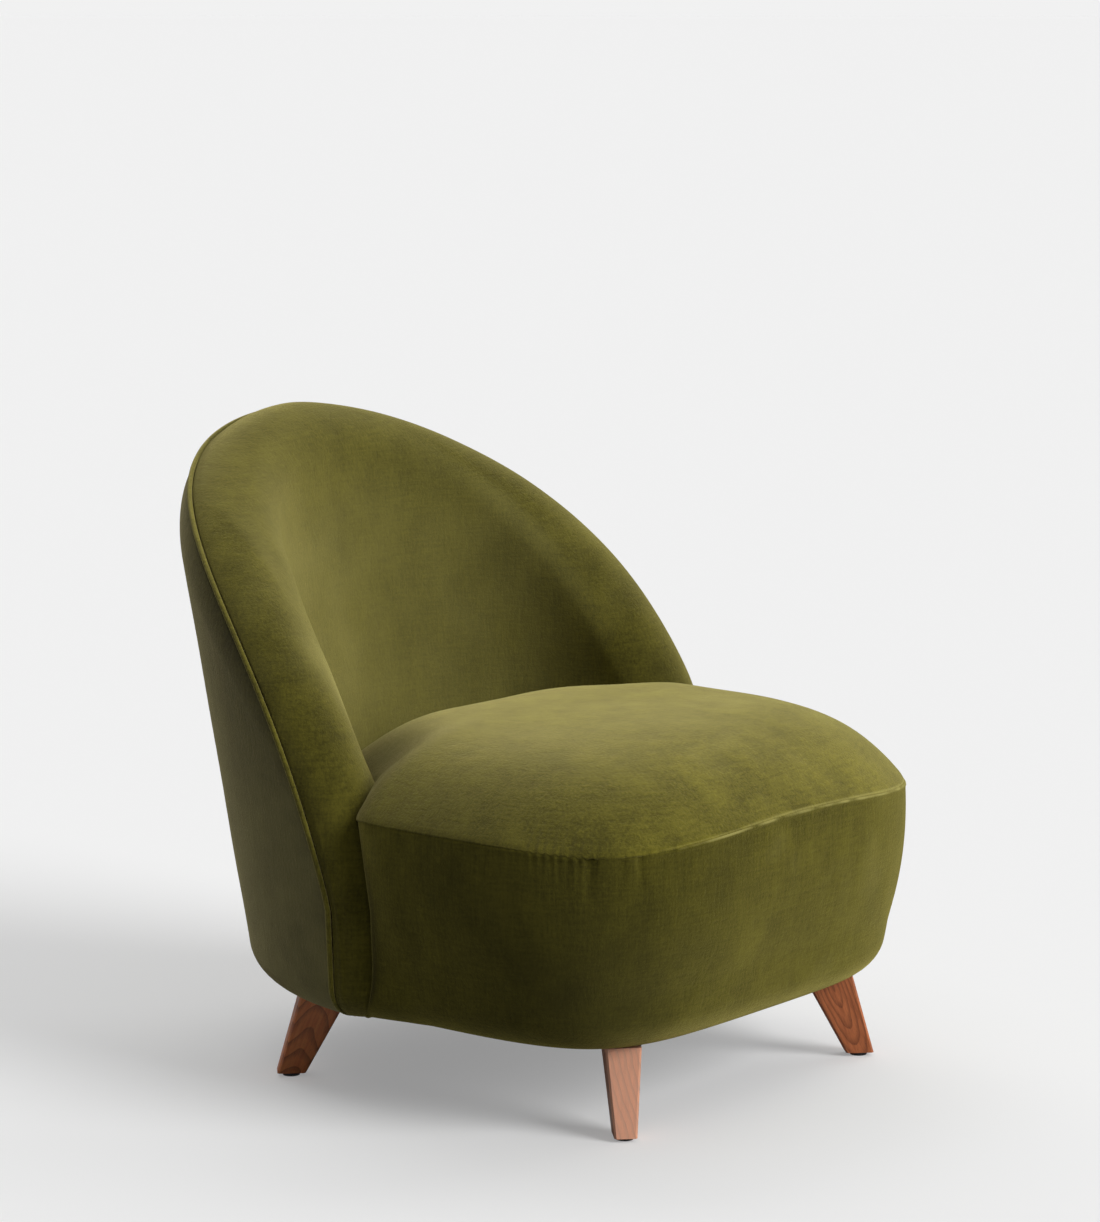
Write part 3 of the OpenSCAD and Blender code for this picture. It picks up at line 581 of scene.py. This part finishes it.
def rimColumn(c, hem):  # place along the rim, and how far the cloth has turned under, from 0 to 1
    columns = rimColumns - 2 * (cover["hem"] - hem)
    edge, side = min(c, columns - c), -1 if c < columns / 2 else 1
    if edge < hem:
        return side, 1 - edge / hem
    edge -= hem
    over, rise = 1 - tub["upright"], tub["knee"] - tub["underside"]
    if edge <= cover["bottom"]:
        up = tub["bottomRound"] * (1 - cos(radians(90) * edge / cover["bottom"]))
    elif edge <= cover["bottom"] + cover["foot"]:
        up = mix(tub["bottomRound"], rise, (edge - cover["bottom"]) / cover["foot"])
    else:
        return side * over * (1 - (edge - cover["bottom"] - cover["foot"]) / cover["arch"]), 0
    return side * (1 - tub["upright"] * up / rise), 0


def coverPoint(c, r, angle, share=None):
    u, under = rimColumn(c, cover["hem"])
    low = tub["underside"] if angle > cover["outside"] else tub["plateTop"]
    reach = mix(r, cover["hemDepth"], under)
    if share is None:
        return nosePoint(u, reach, angle, low)
    return padPoint(u, padR, copysign(reach, angle), share, low)


def addInsideBack():
    def place(c, row):
        u = rimColumn(c, cover["hem"])[0]
        start = pipingAngle(u) - seamTurn
        if row == 0:
            return coverPoint(c, padR - cover["groove"], start + seamTurn * cover["grooveTurn"])
        high = rimAt(u, tub["underside"])[1]
        if row <= cover["edge"]:
            turn = cover["edgeTurn"] * (row - 1) / (cover["edge"] - 1)
            low = climb(high, tub["knee"] + cover["foldRise"], tub["knee"])
            fold = cover["fold"] * low * bell((turn - cover["foldAngle"]) / cover["foldWidth"])
            return coverPoint(c, padR + fold, start - turn)
        row -= cover["edge"]
        soft = cover["soft"] * climb(high, *cover["softGrows"]) * climb(high, *cover["softFades"])
        if row <= cover["round"]:
            turn = row / cover["round"]
            angle = mix(start - cover["edgeTurn"], -90, turn)
            return coverPoint(c, padR + soft * ease(turn * 2 - 1), angle)
        share = (row - cover["round"]) / cover["field"]
        return coverPoint(c, padR + soft * ease(1 - share * 3.5), -90, share)

    # paints light and shade into the inside back's velvet
    def shade(p):
        marks = insidePaintedLight
        inner = (p.xy - Vector((0, tubY + tub["lean"] * (p.z - tub["knee"])))).length / flare(p.z)
        middle = climb(inner - tubR + padR, 0.012, -0.008) * climb(p.y, 0.03, 0.23)
        low = climb(p.z, 0.56, 0.42) * climb(p.y, 0.1, 0) * (1 - middle)
        wing = climb(p.x, -0.267, -0.287) * climb(p.z, 0.8, 0.7) * climb(p.z, 0.42, 0.48)
        far = climb(p.x, 0.1, 0.2) * (1 - middle)
        streak = max(strength * max(bell(fromLine(p, a, b)[1] / width) for a, b in zip(line, line[1:]))
                     for width, strength, line in marks["streaks"])
        paintedHighlight = (streak + marks["all"]) * climb(p.z, 0.78, 0.6) * (0.9 + 0.25 * noise.noise(p * 22))
        return (paintedHighlight + marks["middle"] * middle + marks["low"] * low + marks["wing"] * wing
                + marks["far"] * far)

    bm = fromGrid(rimColumns, cover["edge"] + cover["round"] + cover["field"], place)
    undulate(bm, *cover["insideUneven"])
    paintLightAndPile(bm, shade)
    piece = addPiece(bm, "insideBack", backVelvet, cover["wall"], turned=True)
    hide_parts("inside_back_cover", "inside_back_foam")


def addOutsideBack():
    def place(c, row):
        start = pipingAngle(rimColumn(c, cover["hem"])[0]) + seamTurn
        if row == 0:
            return coverPoint(c, padR - cover["groove"], start - seamTurn * cover["grooveTurn"])
        if row <= cover["outerRound"]:
            return coverPoint(c, padR, mix(start, 90, (row - 1) / (cover["outerRound"] - 1)))
        return coverPoint(c, padR, 90, (row - cover["outerRound"]) / cover["field"])

    def shade(p):
        marks = outsidePaintedLight
        cloudy = 0.8 + marks["cloudy"] * noise.noise(p * 14) + marks["flecked"] * noise.noise(p * 45)
        return cloudy * (marks["low"] * climb(p.z, 0.62, 0.22) + marks["front"] * climb(p.y, 0.18, 0.02))

    bm = fromGrid(rimColumns, cover["outerRound"] + cover["field"], place)
    undulate(bm, *cover["outsideUneven"])
    paintLightAndPile(bm, shade)
    piece = addPiece(bm, "outsideBack", outerVelvet, cover["wall"])
    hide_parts("outside_back_cover", "outside_back_padding")


piping = {"sides": 12, "sunk": 0.0012}


def addPiping():
    sides, r = piping["sides"], tub["piping"] / 2
    middle = padR - piping["sunk"] + r

    def place(c, row):
        u = rimColumn(c, 0)[0]
        a = 2 * pi * row / sides
        angle = pipingAngle(u) + degrees(r * sin(a) / middle)
        return nosePoint(u, middle + r * cos(a), angle, tub["underside"])

    bm = fromGrid(rimColumns - 2 * cover["hem"], sides, place)
    bmesh.ops.holes_fill(bm, edges=bm.edges, sides=sides)
    bmesh.ops.recalc_face_normals(bm, faces=bm.faces)
    piece = addPiece(bm, "backPiping", pipingVelvet)
    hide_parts("back_piping")


addInsideBack()
addOutsideBack()
addPiping()
print("back and arms covered")

cushion = {
    "columns": (280, 24, 16, 26),  # along half the front, a side, an arm's edge and half the tub
    "bunch": 1.7,  # crowds the side's columns towards the arm
    "crown": 44,  # rows from the middle to the seam
    "crownBunch": 1.8,  # crowds them towards the seam
    "clear": 0.0006,
    "seamGroove": 0.0016,
    "seamReach": 0.0045,
    "below": ((0.002, 0.004), (0.006, 0.02)),  # under the seam: how far down and in
    "tuckFrom": 1.6,  # place in the plan from which the edge is tucked in, not sewn
    "tuckReach": 0.016,
    "tuckDepth": 0.012,
    "tuckDrop": 0.02,
    "bottom": 0.3165,
    "padding": 0.052,
    "gatherFrom": 0.53,  # shares of the half front where the cloth is gathered at the seam
    "gatherTo": 0.74,
    "gatherFades": (0.03, 0.08),
    "gatherPitch": 0.0105,
    "gatherDepth": 0.0015,
    "gatherReach": 0.014,
    "uneven": (0.11, 0.0015, 11),
}
# painted highlight on the ridge at the front seam, painted shade towards the near side; clouds and flecks are
# random pile tone
cushionLightAndPile = {"ridge": 0.4, "clouds": 0.14, "flecks": 0.1, "near": -0.32}


def gather(t, away, side):  # small puckers beside the seam, near the front corners
    run = t * frontRun
    fadeIn, fadeOut = cushion["gatherFades"]
    strength = ease((t - cushion["gatherFrom"]) / fadeIn) * ease((cushion["gatherTo"] - t) / fadeOut)
    if strength <= 0 or away > 4 * cushion["gatherReach"]:
        return 0
    wobble = noise.noise(Vector((run * 60, side * 3, 0)))
    wave = cos(2 * pi * run / cushion["gatherPitch"] + 2.5 * wobble)
    return cushion["gatherDepth"] * strength * wave * (0.7 + wobble) * exp(-away / cushion["gatherReach"])


def crownMeet(t):  # where the seat's side meets its crown
    z = seat["seam"] + seat["crown"] / 2
    for _ in range(8):
        p = seatPlan(t, z, 0, cushion["clear"])
        z = crownHeight(p.x, p.y)
    return Vector((p.x, p.y, z))


def addSeatTop():
    half, crown, groove = sum(cushion["columns"]), cushion["crown"], cushion["seamGroove"]
    hub = Vector((0, roundY - seat["roundDepth"] * seat["hub"]))
    below = [*cushion["below"], (None, cushion["padding"])]
    edges = {}

    def place(c, row):
        side, i = (1, c) if c <= half else (-1, 2 * half - c)
        t = planPlace(i, cushion["columns"], cushion["bunch"])
        if i not in edges:
            edges[i] = crownMeet(t)
        edge, tucked = edges[i], ease(t - cushion["tuckFrom"])
        if row > crown + len(below):
            return Vector((0, hub.y, cushion["bottom"]))
        if row > crown:
            drop, inset = below[row - crown - 1]
            z = cushion["bottom"]
            if drop is not None:
                z = edge.z - mix(drop + groove, cushion["tuckDrop"] + drop, tucked)
            p = seatPlan(t, z, inset, cushion["clear"])
            return Vector((p.x * side, p.y, z))
        p = hub.lerp(edge.xy, 1 - (1 - row / crown) ** cushion["crownBunch"])
        away = (edge.xy - p).length
        z = crownHeight(p.x, p.y) + gather(t, away, side)
        if t < 2 and away < cushion["seamReach"]:
            z -= groove * (1 - away / cushion["seamReach"]) ** 2
        if away < cushion["tuckReach"]:
            roll = 1 - away / cushion["tuckReach"]
            z -= tucked * cushion["tuckDepth"] * (1 - sqrt(1 - roll * roll))
        return Vector((p.x * side, p.y, z))

    # painted highlight on the seam's ridge, painted shade towards the near side and where the crown falls
    # beside the tub's wall, and random pile tone
    def shade(p):
        marks = cushionLightAndPile
        ridge = bell((p.z - seamHeight(p.x, p.y)) / 0.0013) * climb(p.x, -0.3, -0.2) * climb(p.y, -0.16, -0.26)
        beside = min(0.8, 1.7 * wallFall(p.x, p.y)) * climb(abs(p.x), 0.06, 0.16)
        near = climb(p.x, -0.04, -0.24) * climb(p.y, -0.6, -0.25)
        cloudy = marks["clouds"] * noise.noise(p * 8) + marks["flecks"] * noise.noise(p * 26)
        return marks["ridge"] * ridge + marks["near"] * near - beside + cloudy

    bm = fromGrid(2 * half, crown + len(below) + 1, place)
    bmesh.ops.recalc_face_normals(bm, faces=bm.faces)
    undulate(bm, *cushion["uneven"])
    paintLightAndPile(bm, shade)
    piece = addPiece(bm, "seatTop", seatVelvet)
    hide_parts("seat_cover", "seat_foam")


border = {
    "rows": 54,
    "bottomRows": 12,
    "bunch": 1.5,  # crowds the rows towards the seam
    "clear": 0.0012,
    "fromSeam": 0.0006,
    "foldedIn": 0.004,  # the first row, behind the seam
    "hem": (0.008, 0.02, 0.03),
    "swellTo": 0.7,  # share of the height over which the front swells
    "groove": 0.7,  # share of the seat top's groove
    "armReach": 0.009,
    "armTuck": 0.010,
    "ridge": 0.0011,  # the seam allowance shows as a narrow ridge just below the seam
    "ridgeDrop": 0.0035,
    "ridgeWidth": 0.0022,
    "creases": ((-0.562, 0.07, 0.0036), (-0.462, 0.05, 0.0030), (-0.50, 0.03, 0.0018)),  # place, length, depth
    "creaseWidth": 0.0060,
    "pulls": (  # shallow folds low on the front: start and end in shares of the front and height, and depth
        ((-0.40, 0.96), (-0.20, 0.60), 0.0022),
        ((-0.33, 0.99), (-0.12, 0.72), 0.0020),
        ((0.03, 0.98), (0.20, 0.70), 0.0018),
        ((0.60, 0.97), (0.47, 0.66), 0.0016),
    ),
    "pullWidth": 0.05,
    "uneven": (0.1, 0.001, 19),
}
# painted highlight on the ridge under the front seam, painted shade at the near front corner and at the ends
# against the arms; clouds and flecks are random pile tone
borderLightAndPile = {"ridge": 1.1, "corner": -0.6, "cornerAt": (-0.29, -0.34, 0.2), "cornerSize": 0.17, "end": -1.1,
               "clouds": 0.18, "flecks": 0.12}


def borderHeight(row, top):
    low = tub["underside"] + tub["bottomRound"]
    if row <= border["rows"]:
        return mix(top, low, (max(0, row - 1) / (border["rows"] - 1)) ** border["bunch"])
    turn = min(1, (row - border["rows"]) / border["bottomRows"])
    return tub["underside"] + tub["bottomRound"] * (1 - sin(radians(90) * turn))


def borderFolds(share, h, below):  # how far the cloth stands out at a share of the front, a height and a drop
    ridge = bell((below - border["ridgeDrop"]) / border["ridgeWidth"])
    out = border["ridge"] * ridge * climb(abs(share), 1.25, 0.25)
    for place, length, depth in border["creases"]:
        away = (share - place) * frontRun
        out -= depth * bell(away / border["creaseWidth"]) * climb(below, length, 0)
    for start, end, depth in border["pulls"]:
        along, away = fromLine(Vector((share, h)), start, end)
        out += depth * bell(away / border["pullWidth"]) * (1 - along)
    return out


def addSeatBorder():
    half = sum(cushion["columns"][:2])
    last = border["rows"] + border["bottomRows"]

    def place(c, row):
        side = 1 if c >= half else -1
        t = planPlace(abs(c - half), cushion["columns"], cushion["bunch"])
        base = seatPlan(t, seat["seam"], 0, border["clear"])
        top = seamHeight(base.x, base.y) - border["fromSeam"]
        z = borderHeight(row, top)
        below, up = top - z, sideUp(z)
        h = min(1, below / (seat["seam"] - tub["underside"]))
        swell = seat["swell"] * (1 - ease(t - 1)) * sin(pi * min(1, h / border["swellTo"]))
        inset = seat["taper"] * h + seat["tuck"] * h * h - swell + roundInset(z)
        if below < cushion["seamReach"]:
            inset += cushion["seamGroove"] * border["groove"] * (1 - below / cushion["seamReach"]) ** 2
        if row == 0:
            inset += border["foldedIn"]
        if row > last:
            inset += border["hem"][row - last - 1]
        else:
            inset -= borderFolds(t * side, h, below) * (1 - h ** 6) + gather(t, below, side)
        inset -= seat["armTuck"] * (1 - up) ** 6 * max(0, climb(t, 0.7, 2) - max(0, t - 1) ** 4)
        p = seatPlan(t, z, inset, border["clear"])
        if 1 < t <= 2:
            near = (seatPlan(2, z, inset, border["clear"]) - p).length
            if near < border["armReach"]:
                p.x -= border["armTuck"] * (1 - near / border["armReach"]) ** 2
        return Vector((p.x * side, p.y, z))

    # paints that highlight and shade into the border's velvet, with random pile tone
    def shade(p):
        marks = borderLightAndPile
        below = seamHeight(p.x, p.y) - p.z
        ridge = bell((below - 0.0024) / 0.0016) * climb(p.x, -0.26, -0.16) * climb(p.y, -0.16, -0.26)
        corner = bell((p - Vector(marks["cornerAt"])).length / marks["cornerSize"])
        end = bell((p.y - sideEnd(max(p.z, 0.106), 0.03, 0)) / 0.009) * climb(abs(p.x), 0.28, 0.3)
        cloudy = marks["clouds"] * noise.noise(p * 9) + marks["flecks"] * noise.noise(p * 30)
        ridge *= 0.8 + noise.noise(p * 60)
        return marks["ridge"] * ridge + marks["corner"] * corner + marks["end"] * end + cloudy

    bm = fromGrid(2 * half, last + len(border["hem"]), place)
    undulate(bm, *border["uneven"])
    paintLightAndPile(bm, shade)
    piece = addPiece(bm, "seatBorder", borderVelvet, cover["wall"], turned=True)
    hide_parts("border_cover", "border_foam")


addSeatTop()
addSeatBorder()
print("seat covered")

felt = {
    "columns": (14, 10, 8, 14),
    "low": 0.3096,
    "high": 0.3150,
    "inset": 0.0508,
    "clear": 0.0015,
    "round": 0.0015,
    "colors": ((0.30, 0.30, 0.29), (0.62, 0.61, 0.58)),
}


def addSpringFelt():
    paint = newPaint("felt")
    where = paint.place()
    specks = paint.spots(where, 900, 3, 0.7)
    fluff = paint.spots(where, 220, 4, 0.7)
    grey = paint.surface({
        "Base Color": paint.blend(paint.spread(specks * 0.6 + fluff * 0.4, 0.38, 0.6), *felt["colors"]),
        "Roughness": 1.0,
        "Normal": paint.bump(specks + fluff, 0.001, 0.6),
        "Sheen Weight": 0.2,
    })
    half, low, high, turn = sum(felt["columns"]), felt["low"], felt["high"], felt["round"]
    shape = [(None, low), (turn, low), (0, low + turn), (0, high - turn), (turn, high), (None, high)]

    def place(c, row):
        side, i = (1, c) if c <= half else (-1, 2 * half - c)
        inset, z = shape[row]
        if inset is None:
            return Vector((0, roundY, z))
        p = seatPlan(planPlace(i, felt["columns"]), z, felt["inset"] + inset, felt["clear"] + inset)
        return Vector((p.x * side, p.y, z))

    bm = fromGrid(2 * half, len(shape) - 1, place)
    bmesh.ops.recalc_face_normals(bm, faces=bm.faces)
    piece = addPiece(bm, "springFelt", grey)
    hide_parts("spring_pad")


webbing = {
    "bands": 3,
    "width": 0.050,
    "low": seat["seam"],
    "pitch": 0.100,
    "depth": 0.0034,  # out from the middle of the padding
    "wall": 0.0010,
    "reach": 0.0612,  # kept in from the rim
    "columns": 64,
    "rows": 4,
    "colors": ((0.10, 0.09, 0.08), (0.20, 0.18, 0.16)),
    "stripes": 3,
    "stripe": (0.035, 0.03, 0.03),
}


def addWebbing():
    paint = newPaint("webbing")
    along, across = paint.split(paint.node("ShaderNodeUVMap", {"uv_map": "flat"}))[:2]
    weave = (along * 900).wave() * (across * 110).wave()
    stripe = paint.spread((across * (2 * pi * webbing["stripes"])).wave("COSINE"), 0.7, 0.9)
    cords = paint.blend(paint.spread(weave, -0.6, 0.6), *webbing["colors"])
    tape = paint.surface({
        "Base Color": paint.blend(stripe, cords, webbing["stripe"]),
        "Roughness": 0.85,
        "Normal": paint.bump(weave, 0.0004, 0.8),
    })
    columns, rows, width = webbing["columns"], webbing["rows"], webbing["width"]
    for band in range(webbing["bands"]):
        low = webbing["low"] + band * webbing["pitch"]
        end = edgeS(low + width, webbing["reach"])

        def place(c, row):
            return tubPoint(end * (2 * c / columns - 1), low + width * row / rows, webbing["depth"])

        middle = [place(i, rows / 2) for i in range(columns + 1)]
        length = sum((b - a).length for a, b in zip(middle, middle[1:]))
        bm = fromGrid(columns, rows, place)
        piece = addPiece(bm, "backWebbing%d" % (band + 1), tape, webbing["wall"])
        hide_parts("back_webbing")


dust = {
    "columns": (70, 8, 42),  # along half the front, a side and half the tub
    "rows": 60,
    "height": 0.1050,
    "wall": 0.0002,
    "inset": 0.086,
    "backOut": 0.009,
    "armGap": 0.012,
    "hole": 0.012,  # cut out round each leg bolt
    "colors": ((0.006, 0.006, 0.007), (0.028, 0.028, 0.03)),
}
legs = {
    "leg_front_left": (0.235, -0.353),
    "leg_front_right": (-0.235, -0.353),
    "leg_rear_left": (0.287, 0.130),
    "leg_rear_right": (-0.287, 0.130),
}
splay = {"out": 0.042, "low": 0.0045, "high": 0.1047, "boltIn": 0.006}


def outwards(x, y):
    return Vector((copysign(1, x), copysign(1, y), 0)) / sqrt(2)


def dustEdge():  # half the outline of the underside, from the front round to the back
    front, side, back = dust["columns"]
    low = tub["underside"]
    armS, out = edgeS(low, padR), dust["backOut"] / squeeze(low)
    armY = tubPoint(armS, low, out).y - dust["armGap"]
    edge = [frontPoint(i / front, dust["inset"]) for i in range(front + 1)]
    edge += [Vector((sideX(low, i / side, dust["inset"]), mix(roundY, armY, i / side)))
             for i in range(1, side + 1)]
    return edge + [tubPoint(armS * (1 - i / back), low, out).xy for i in range(back + 1)]


def addDustCover():
    paint = newPaint("dust cloth")
    fibres = paint.spots(paint.place((1, 0.3, 1)), 600, 3, 0.7)
    cells = paint.node("ShaderNodeTexVoronoi", None, {"Vector": paint.place(), "Scale": 450}, "Distance")
    cloth = paint.surface({
        "Base Color": paint.blend(paint.spread(fibres, 0.35, 0.65), *dust["colors"]),
        "Roughness": 0.95 - cells * 0.2,
        "Normal": paint.bump(cells, 0.0004, 0.6),
    })
    edge, rows = dustEdge(), dust["rows"]

    def place(c, row):
        return Vector((edge[c].x * (2 * row / rows - 1), edge[c].y, dust["height"]))

    bm = fromGrid(len(edge) - 1, rows, place)
    bolts = [Vector(foot) - outwards(*foot).xy * (splay["out"] - splay["boltIn"]) for foot in legs.values()]
    holes = [face for face in bm.faces
             if any((face.calc_center_median().xy - bolt).length < dust["hole"] for bolt in bolts)]
    bmesh.ops.delete(bm, geom=holes, context="FACES")
    bmesh.ops.recalc_face_normals(bm, faces=bm.faces)
    if sum(face.normal.z * face.calc_area() for face in bm.faces) > 0:
        bmesh.ops.reverse_faces(bm, faces=bm.faces)
    area = sum(face.calc_area() for face in bm.faces)
    width, length = 2 * max(p.x for p in edge), edge[-1].y - edge[0].y
    piece = addPiece(bm, "dustCover", cloth, dust["wall"])
    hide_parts("dust_cover")


addSpringFelt()
addWebbing()
addDustCover()
print("felt, webbing and dust cover added")

stain = {
    "pale": (0.600, 0.185, 0.062),
    "mid": (0.400, 0.112, 0.036),
    "dark": (0.110, 0.028, 0.011),
    "paintedReflection": (0.860, 0.500, 0.350),  # painted reflection: the pale colour a leg is blended towards
    "ring": 0.0062,  # growth rings' spacing on the sawn face
    "pith": 0.034,  # how far behind the broad face the tree's middle lies
    "slope": 0.16,
    "bend": 0.012,
    "pores": 1500,
    "streaks": 300,
    "roughness": 0.42,
    "coat": 0.25,
    "coatRoughness": 0.22,
    "paintedLegLight": (1.05, 1.1, 1.0, 1.8),  # painted light: each leg's colour made lighter to match how it is lit
    # painted reflection: the near front leg is blended halfway to that pale colour
    "paintedReflectionShare": (0.0, 0.5, 0.0, 0.0),
}


def stainedWood(name, foot, seed, paintedLegLight, paintedReflectionShare):  # grain that runs down a leg, with arches on its broad faces
    out = outwards(*foot)
    down = (Vector((0, 0, splay["high"] - splay["low"])) - out * splay["out"]).normalized()
    across = down.cross(out).normalized()
    turn = Matrix((across.cross(down), across, down)).transposed().to_euler()
    paint = newPaint(name)
    grain = paint.place((1, 1, 1), (*foot, splay["low"]), turn)
    bend = paint.spots(grain, 16 + seed, 2, 0.5)
    a, b, c = paint.split(grain)
    depth = b + c * stain["slope"] * (1 if seed % 2 else -0.8) + (stain["pith"] - 0.004 * seed)
    radius = (a * a * 1.4 + depth * depth) ** 0.5 + bend * stain["bend"]
    ring = (radius / stain["ring"]).wave("FRACT")
    late = paint.spread(ring, 0.45, 0.93) * (1 - paint.spread(ring, 0.94, 1.0))
    fine = paint.node("ShaderNodeMapping", None, {"Vector": grain, "Scale": (1, 1, 0.045)})
    pores = paint.spread(paint.spots(fine, stain["pores"], 2, 0.6), 0.56, 0.72)
    streaks = paint.spots(fine, stain["streaks"], 3, 0.6)
    pale, mid, dark = ([mix(min(0.9, part * paintedLegLight), paintedReflection, paintedReflectionShare)
                        for part, paintedReflection in zip(stain[tone], stain["paintedReflection"])] for tone in ("pale", "mid", "dark"))
    color = paint.blend(late * 0.55, paint.blend(paint.spread(streaks, 0.3, 0.7), mid, pale), dark)
    return paint.surface({
        "Base Color": paint.blend(pores * (0.3 + late * 0.5), color, dark),
        "Roughness": stain["roughness"] + pores * 0.2 - late * 0.08,
        "Normal": paint.bump((1 - pores) * 0.6 + (1 - late) * 0.4, 0.00025, 0.5),
        "Coat Weight": stain["coat"],
        "Coat Roughness": stain["coatRoughness"],
    })


# the plainer parts: frame, boards, steel and the glides under the legs
plain = {
    "timber": ((0.55, 0.39, 0.21), (0.30, 0.17, 0.075)),
    "rings": 9,
    "plywood": ((0.52, 0.36, 0.19), (0.27, 0.16, 0.075)),
    "ply": 0.004,
    "board": ((0.10, 0.055, 0.028), (0.26, 0.16, 0.09)),
    "steel": ((0.42, 0.43, 0.45), (0.58, 0.58, 0.58)),
    "plastic": ((0.010, 0.010, 0.011), (0.035, 0.034, 0.033)),
}


def plainTimber(name, turn=(0, 0, 0)):
    paint = newPaint(name)
    long = paint.place((1, 1, 0.12), (0, 0, 0), turn)
    rings = paint.spots(long, plain["rings"], 3, 0.5)
    fibre = paint.spots(long, plain["rings"] * 30, 3, 0.7)
    shade = paint.spread((rings * 60).wave(), -0.7, 1.0) * 0.6 + fibre * 0.3
    return paint.surface({
        "Base Color": paint.blend(shade, *plain["timber"]),
        "Roughness": 0.7 + fibre * 0.15,
        "Normal": paint.bump(fibre, 0.0004, 0.4),
    })


def plywood():  # plies on the edges, rotary-cut figure on the faces
    paint = newPaint("plywood")
    up = paint.split(paint.place())[2]
    plies = (up * (2 * pi / plain["ply"])).wave()
    figure = paint.spots(paint.place((1, 0.15, 1)), 40, 4, 0.6)
    shade = paint.spread(plies, -0.3, 0.3) * 0.45 + paint.spread((figure * 40).wave(), -1, 1) * 0.3
    return paint.surface({
        "Base Color": paint.blend(shade, *plain["plywood"]),
        "Roughness": 0.75,
        "Normal": paint.bump(figure, 0.0004, 0.3),
    })


def pressedBoard():
    paint = newPaint("fibreboard")
    where = paint.place()
    chips, dots = paint.spots(where, 160, 4, 0.7), paint.spots(where, 900, 2, 0.7)
    return paint.surface({
        "Base Color": paint.blend(paint.spread(chips * 0.6 + dots * 0.4, 0.38, 0.62), *plain["board"]),
        "Roughness": 0.7 + dots * 0.2,
        "Normal": paint.bump(dots, 0.0003, 0.4),
    })


def wornSteel():
    paint = newPaint("steel")
    film = paint.spots(paint.place(), 60, 4, 0.6)
    scratches = paint.spots(paint.place((1, 1, 0.05)), 1500, 2, 0.6)
    return paint.surface({
        "Base Color": paint.blend(paint.spread(film, 0.35, 0.65), *plain["steel"]),
        "Metallic": 1.0,
        "Roughness": 0.28 + film * 0.15 + scratches * 0.1,
        "Normal": paint.bump(scratches, 0.0001, 0.4),
    })


def mouldedPlastic():
    paint = newPaint("black plastic")
    where = paint.place()
    grit, scuffs = paint.spots(where, 2500, 2, 0.6), paint.spots(where, 120, 4, 0.7)
    return paint.surface({
        "Base Color": paint.blend(paint.spread(scuffs, 0.5, 0.75), *plain["plastic"]),
        "Roughness": 0.42 + grit * 0.2,
        "Normal": paint.bump(grit, 0.00015, 0.5),
    })


def repaint(paint, *names):
    for name in names:
        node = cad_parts[name]
        if not node.material_slots:
            node.data.materials.append(paint)
        for slot in node.material_slots:
            slot.material = paint


for seed, (name, foot) in enumerate(legs.items()):
    wood = stainedWood("stained wood %d" % (seed + 1), foot, seed, stain["paintedLegLight"][seed], stain["paintedReflectionShare"][seed])
    repaint(wood, name)
repaint(plywood(), "base_frame", "seat_frame")
repaint(plainTimber("timber"), "seat_studs", "back_hoop", "back_slats")
repaint(plainTimber("timber across", (0, pi / 2, 0)), "back_rail")
repaint(pressedBoard(), "back_board")
repaint(wornSteel(), "seat_springs", "spring_clips", "tie_wires", "hanger_bolts", "tee_nuts", "frame_screws")
repaint(mouldedPlastic(), "glides")
print("wood, board, steel and plastic finished")

room = {
    "floor": (0.88, 0.88, 0.88),
    "bounce": (0.30, 0.30, 0.30),
    "glow": 0.32,  # share of the seen floor that stays at its own colour, in the shadow too
    "sky": 0.88,
    "fill": 0.06,
    "size": 3000.0,
}


def addFloor():
    paint = newPaint("floor")
    seen = paint.node("ShaderNodeLightPath", output="Is Camera Ray")
    color = paint.blend(seen, room["bounce"], room["floor"])
    lit = paint.node("ShaderNodeBsdfDiffuse", None, {"Color": color}, "BSDF")
    glow = paint.node("ShaderNodeEmission", None, {"Color": (*room["floor"], 1), "Strength": 1.0}, "Emission")
    shader = paint.node("ShaderNodeMixShader", None, {0: seen * room["glow"], 1: lit, 2: glow})
    bm = bmesh.new()
    bmesh.ops.create_grid(bm, x_segments=1, y_segments=1, size=room["size"])
    mesh = bpy.data.meshes.new("floor")
    bm.to_mesh(mesh)
    bm.free()
    floor = bpy.data.objects.new("floor", mesh)
    bpy.context.collection.objects.link(floor)
    mesh.materials.append(paint.close(shader))


def addSky():
    world = bpy.data.worlds.new("studio")
    bpy.context.scene.world = world
    paint = Paint(world)
    direct, glossy, through = (paint.node("ShaderNodeLightPath", output="Is %s Ray" % ray)
                               for ray in ("Camera", "Glossy", "Transmission"))
    seen = paint.node("ShaderNodeMath", {"operation": "ADD", "use_clamp": True},
                      {0: direct, 1: glossy + through})
    strength = seen * (room["sky"] - room["fill"]) + room["fill"]
    light = paint.node("ShaderNodeBackground", None, {"Color": (1, 1, 1, 1), "Strength": strength})
    paint.close(light, "ShaderNodeOutputWorld")


lamps = {
    "key": {"toward": (0.20, -0.86, 0.47), "strength": 2.65, "spread": 32},
    "right": {"toward": (0.82, 0.0, 0.57), "strength": 0.85, "spread": 45},
    "rim": {"toward": (0.42, 0.67, 0.61), "strength": 0.85, "spread": 50},
    "top": {"toward": (0.0, 0.0, 1.0), "strength": 0.68, "spread": 80},
}


def addLamps():
    for name, lamp in lamps.items():
        data = bpy.data.lights.new(name, "SUN")
        data.energy = lamp["strength"]
        data.angle = radians(lamp["spread"])
        sun = bpy.data.objects.new(name, data)
        bpy.context.collection.objects.link(sun)
        sun.rotation_euler = Vector(lamp["toward"]).to_track_quat("Z", "Y").to_euler()


addFloor()
addSky()
addLamps()
bpy.context.scene.view_settings.view_transform = "Standard"
print("room and lamps ready")
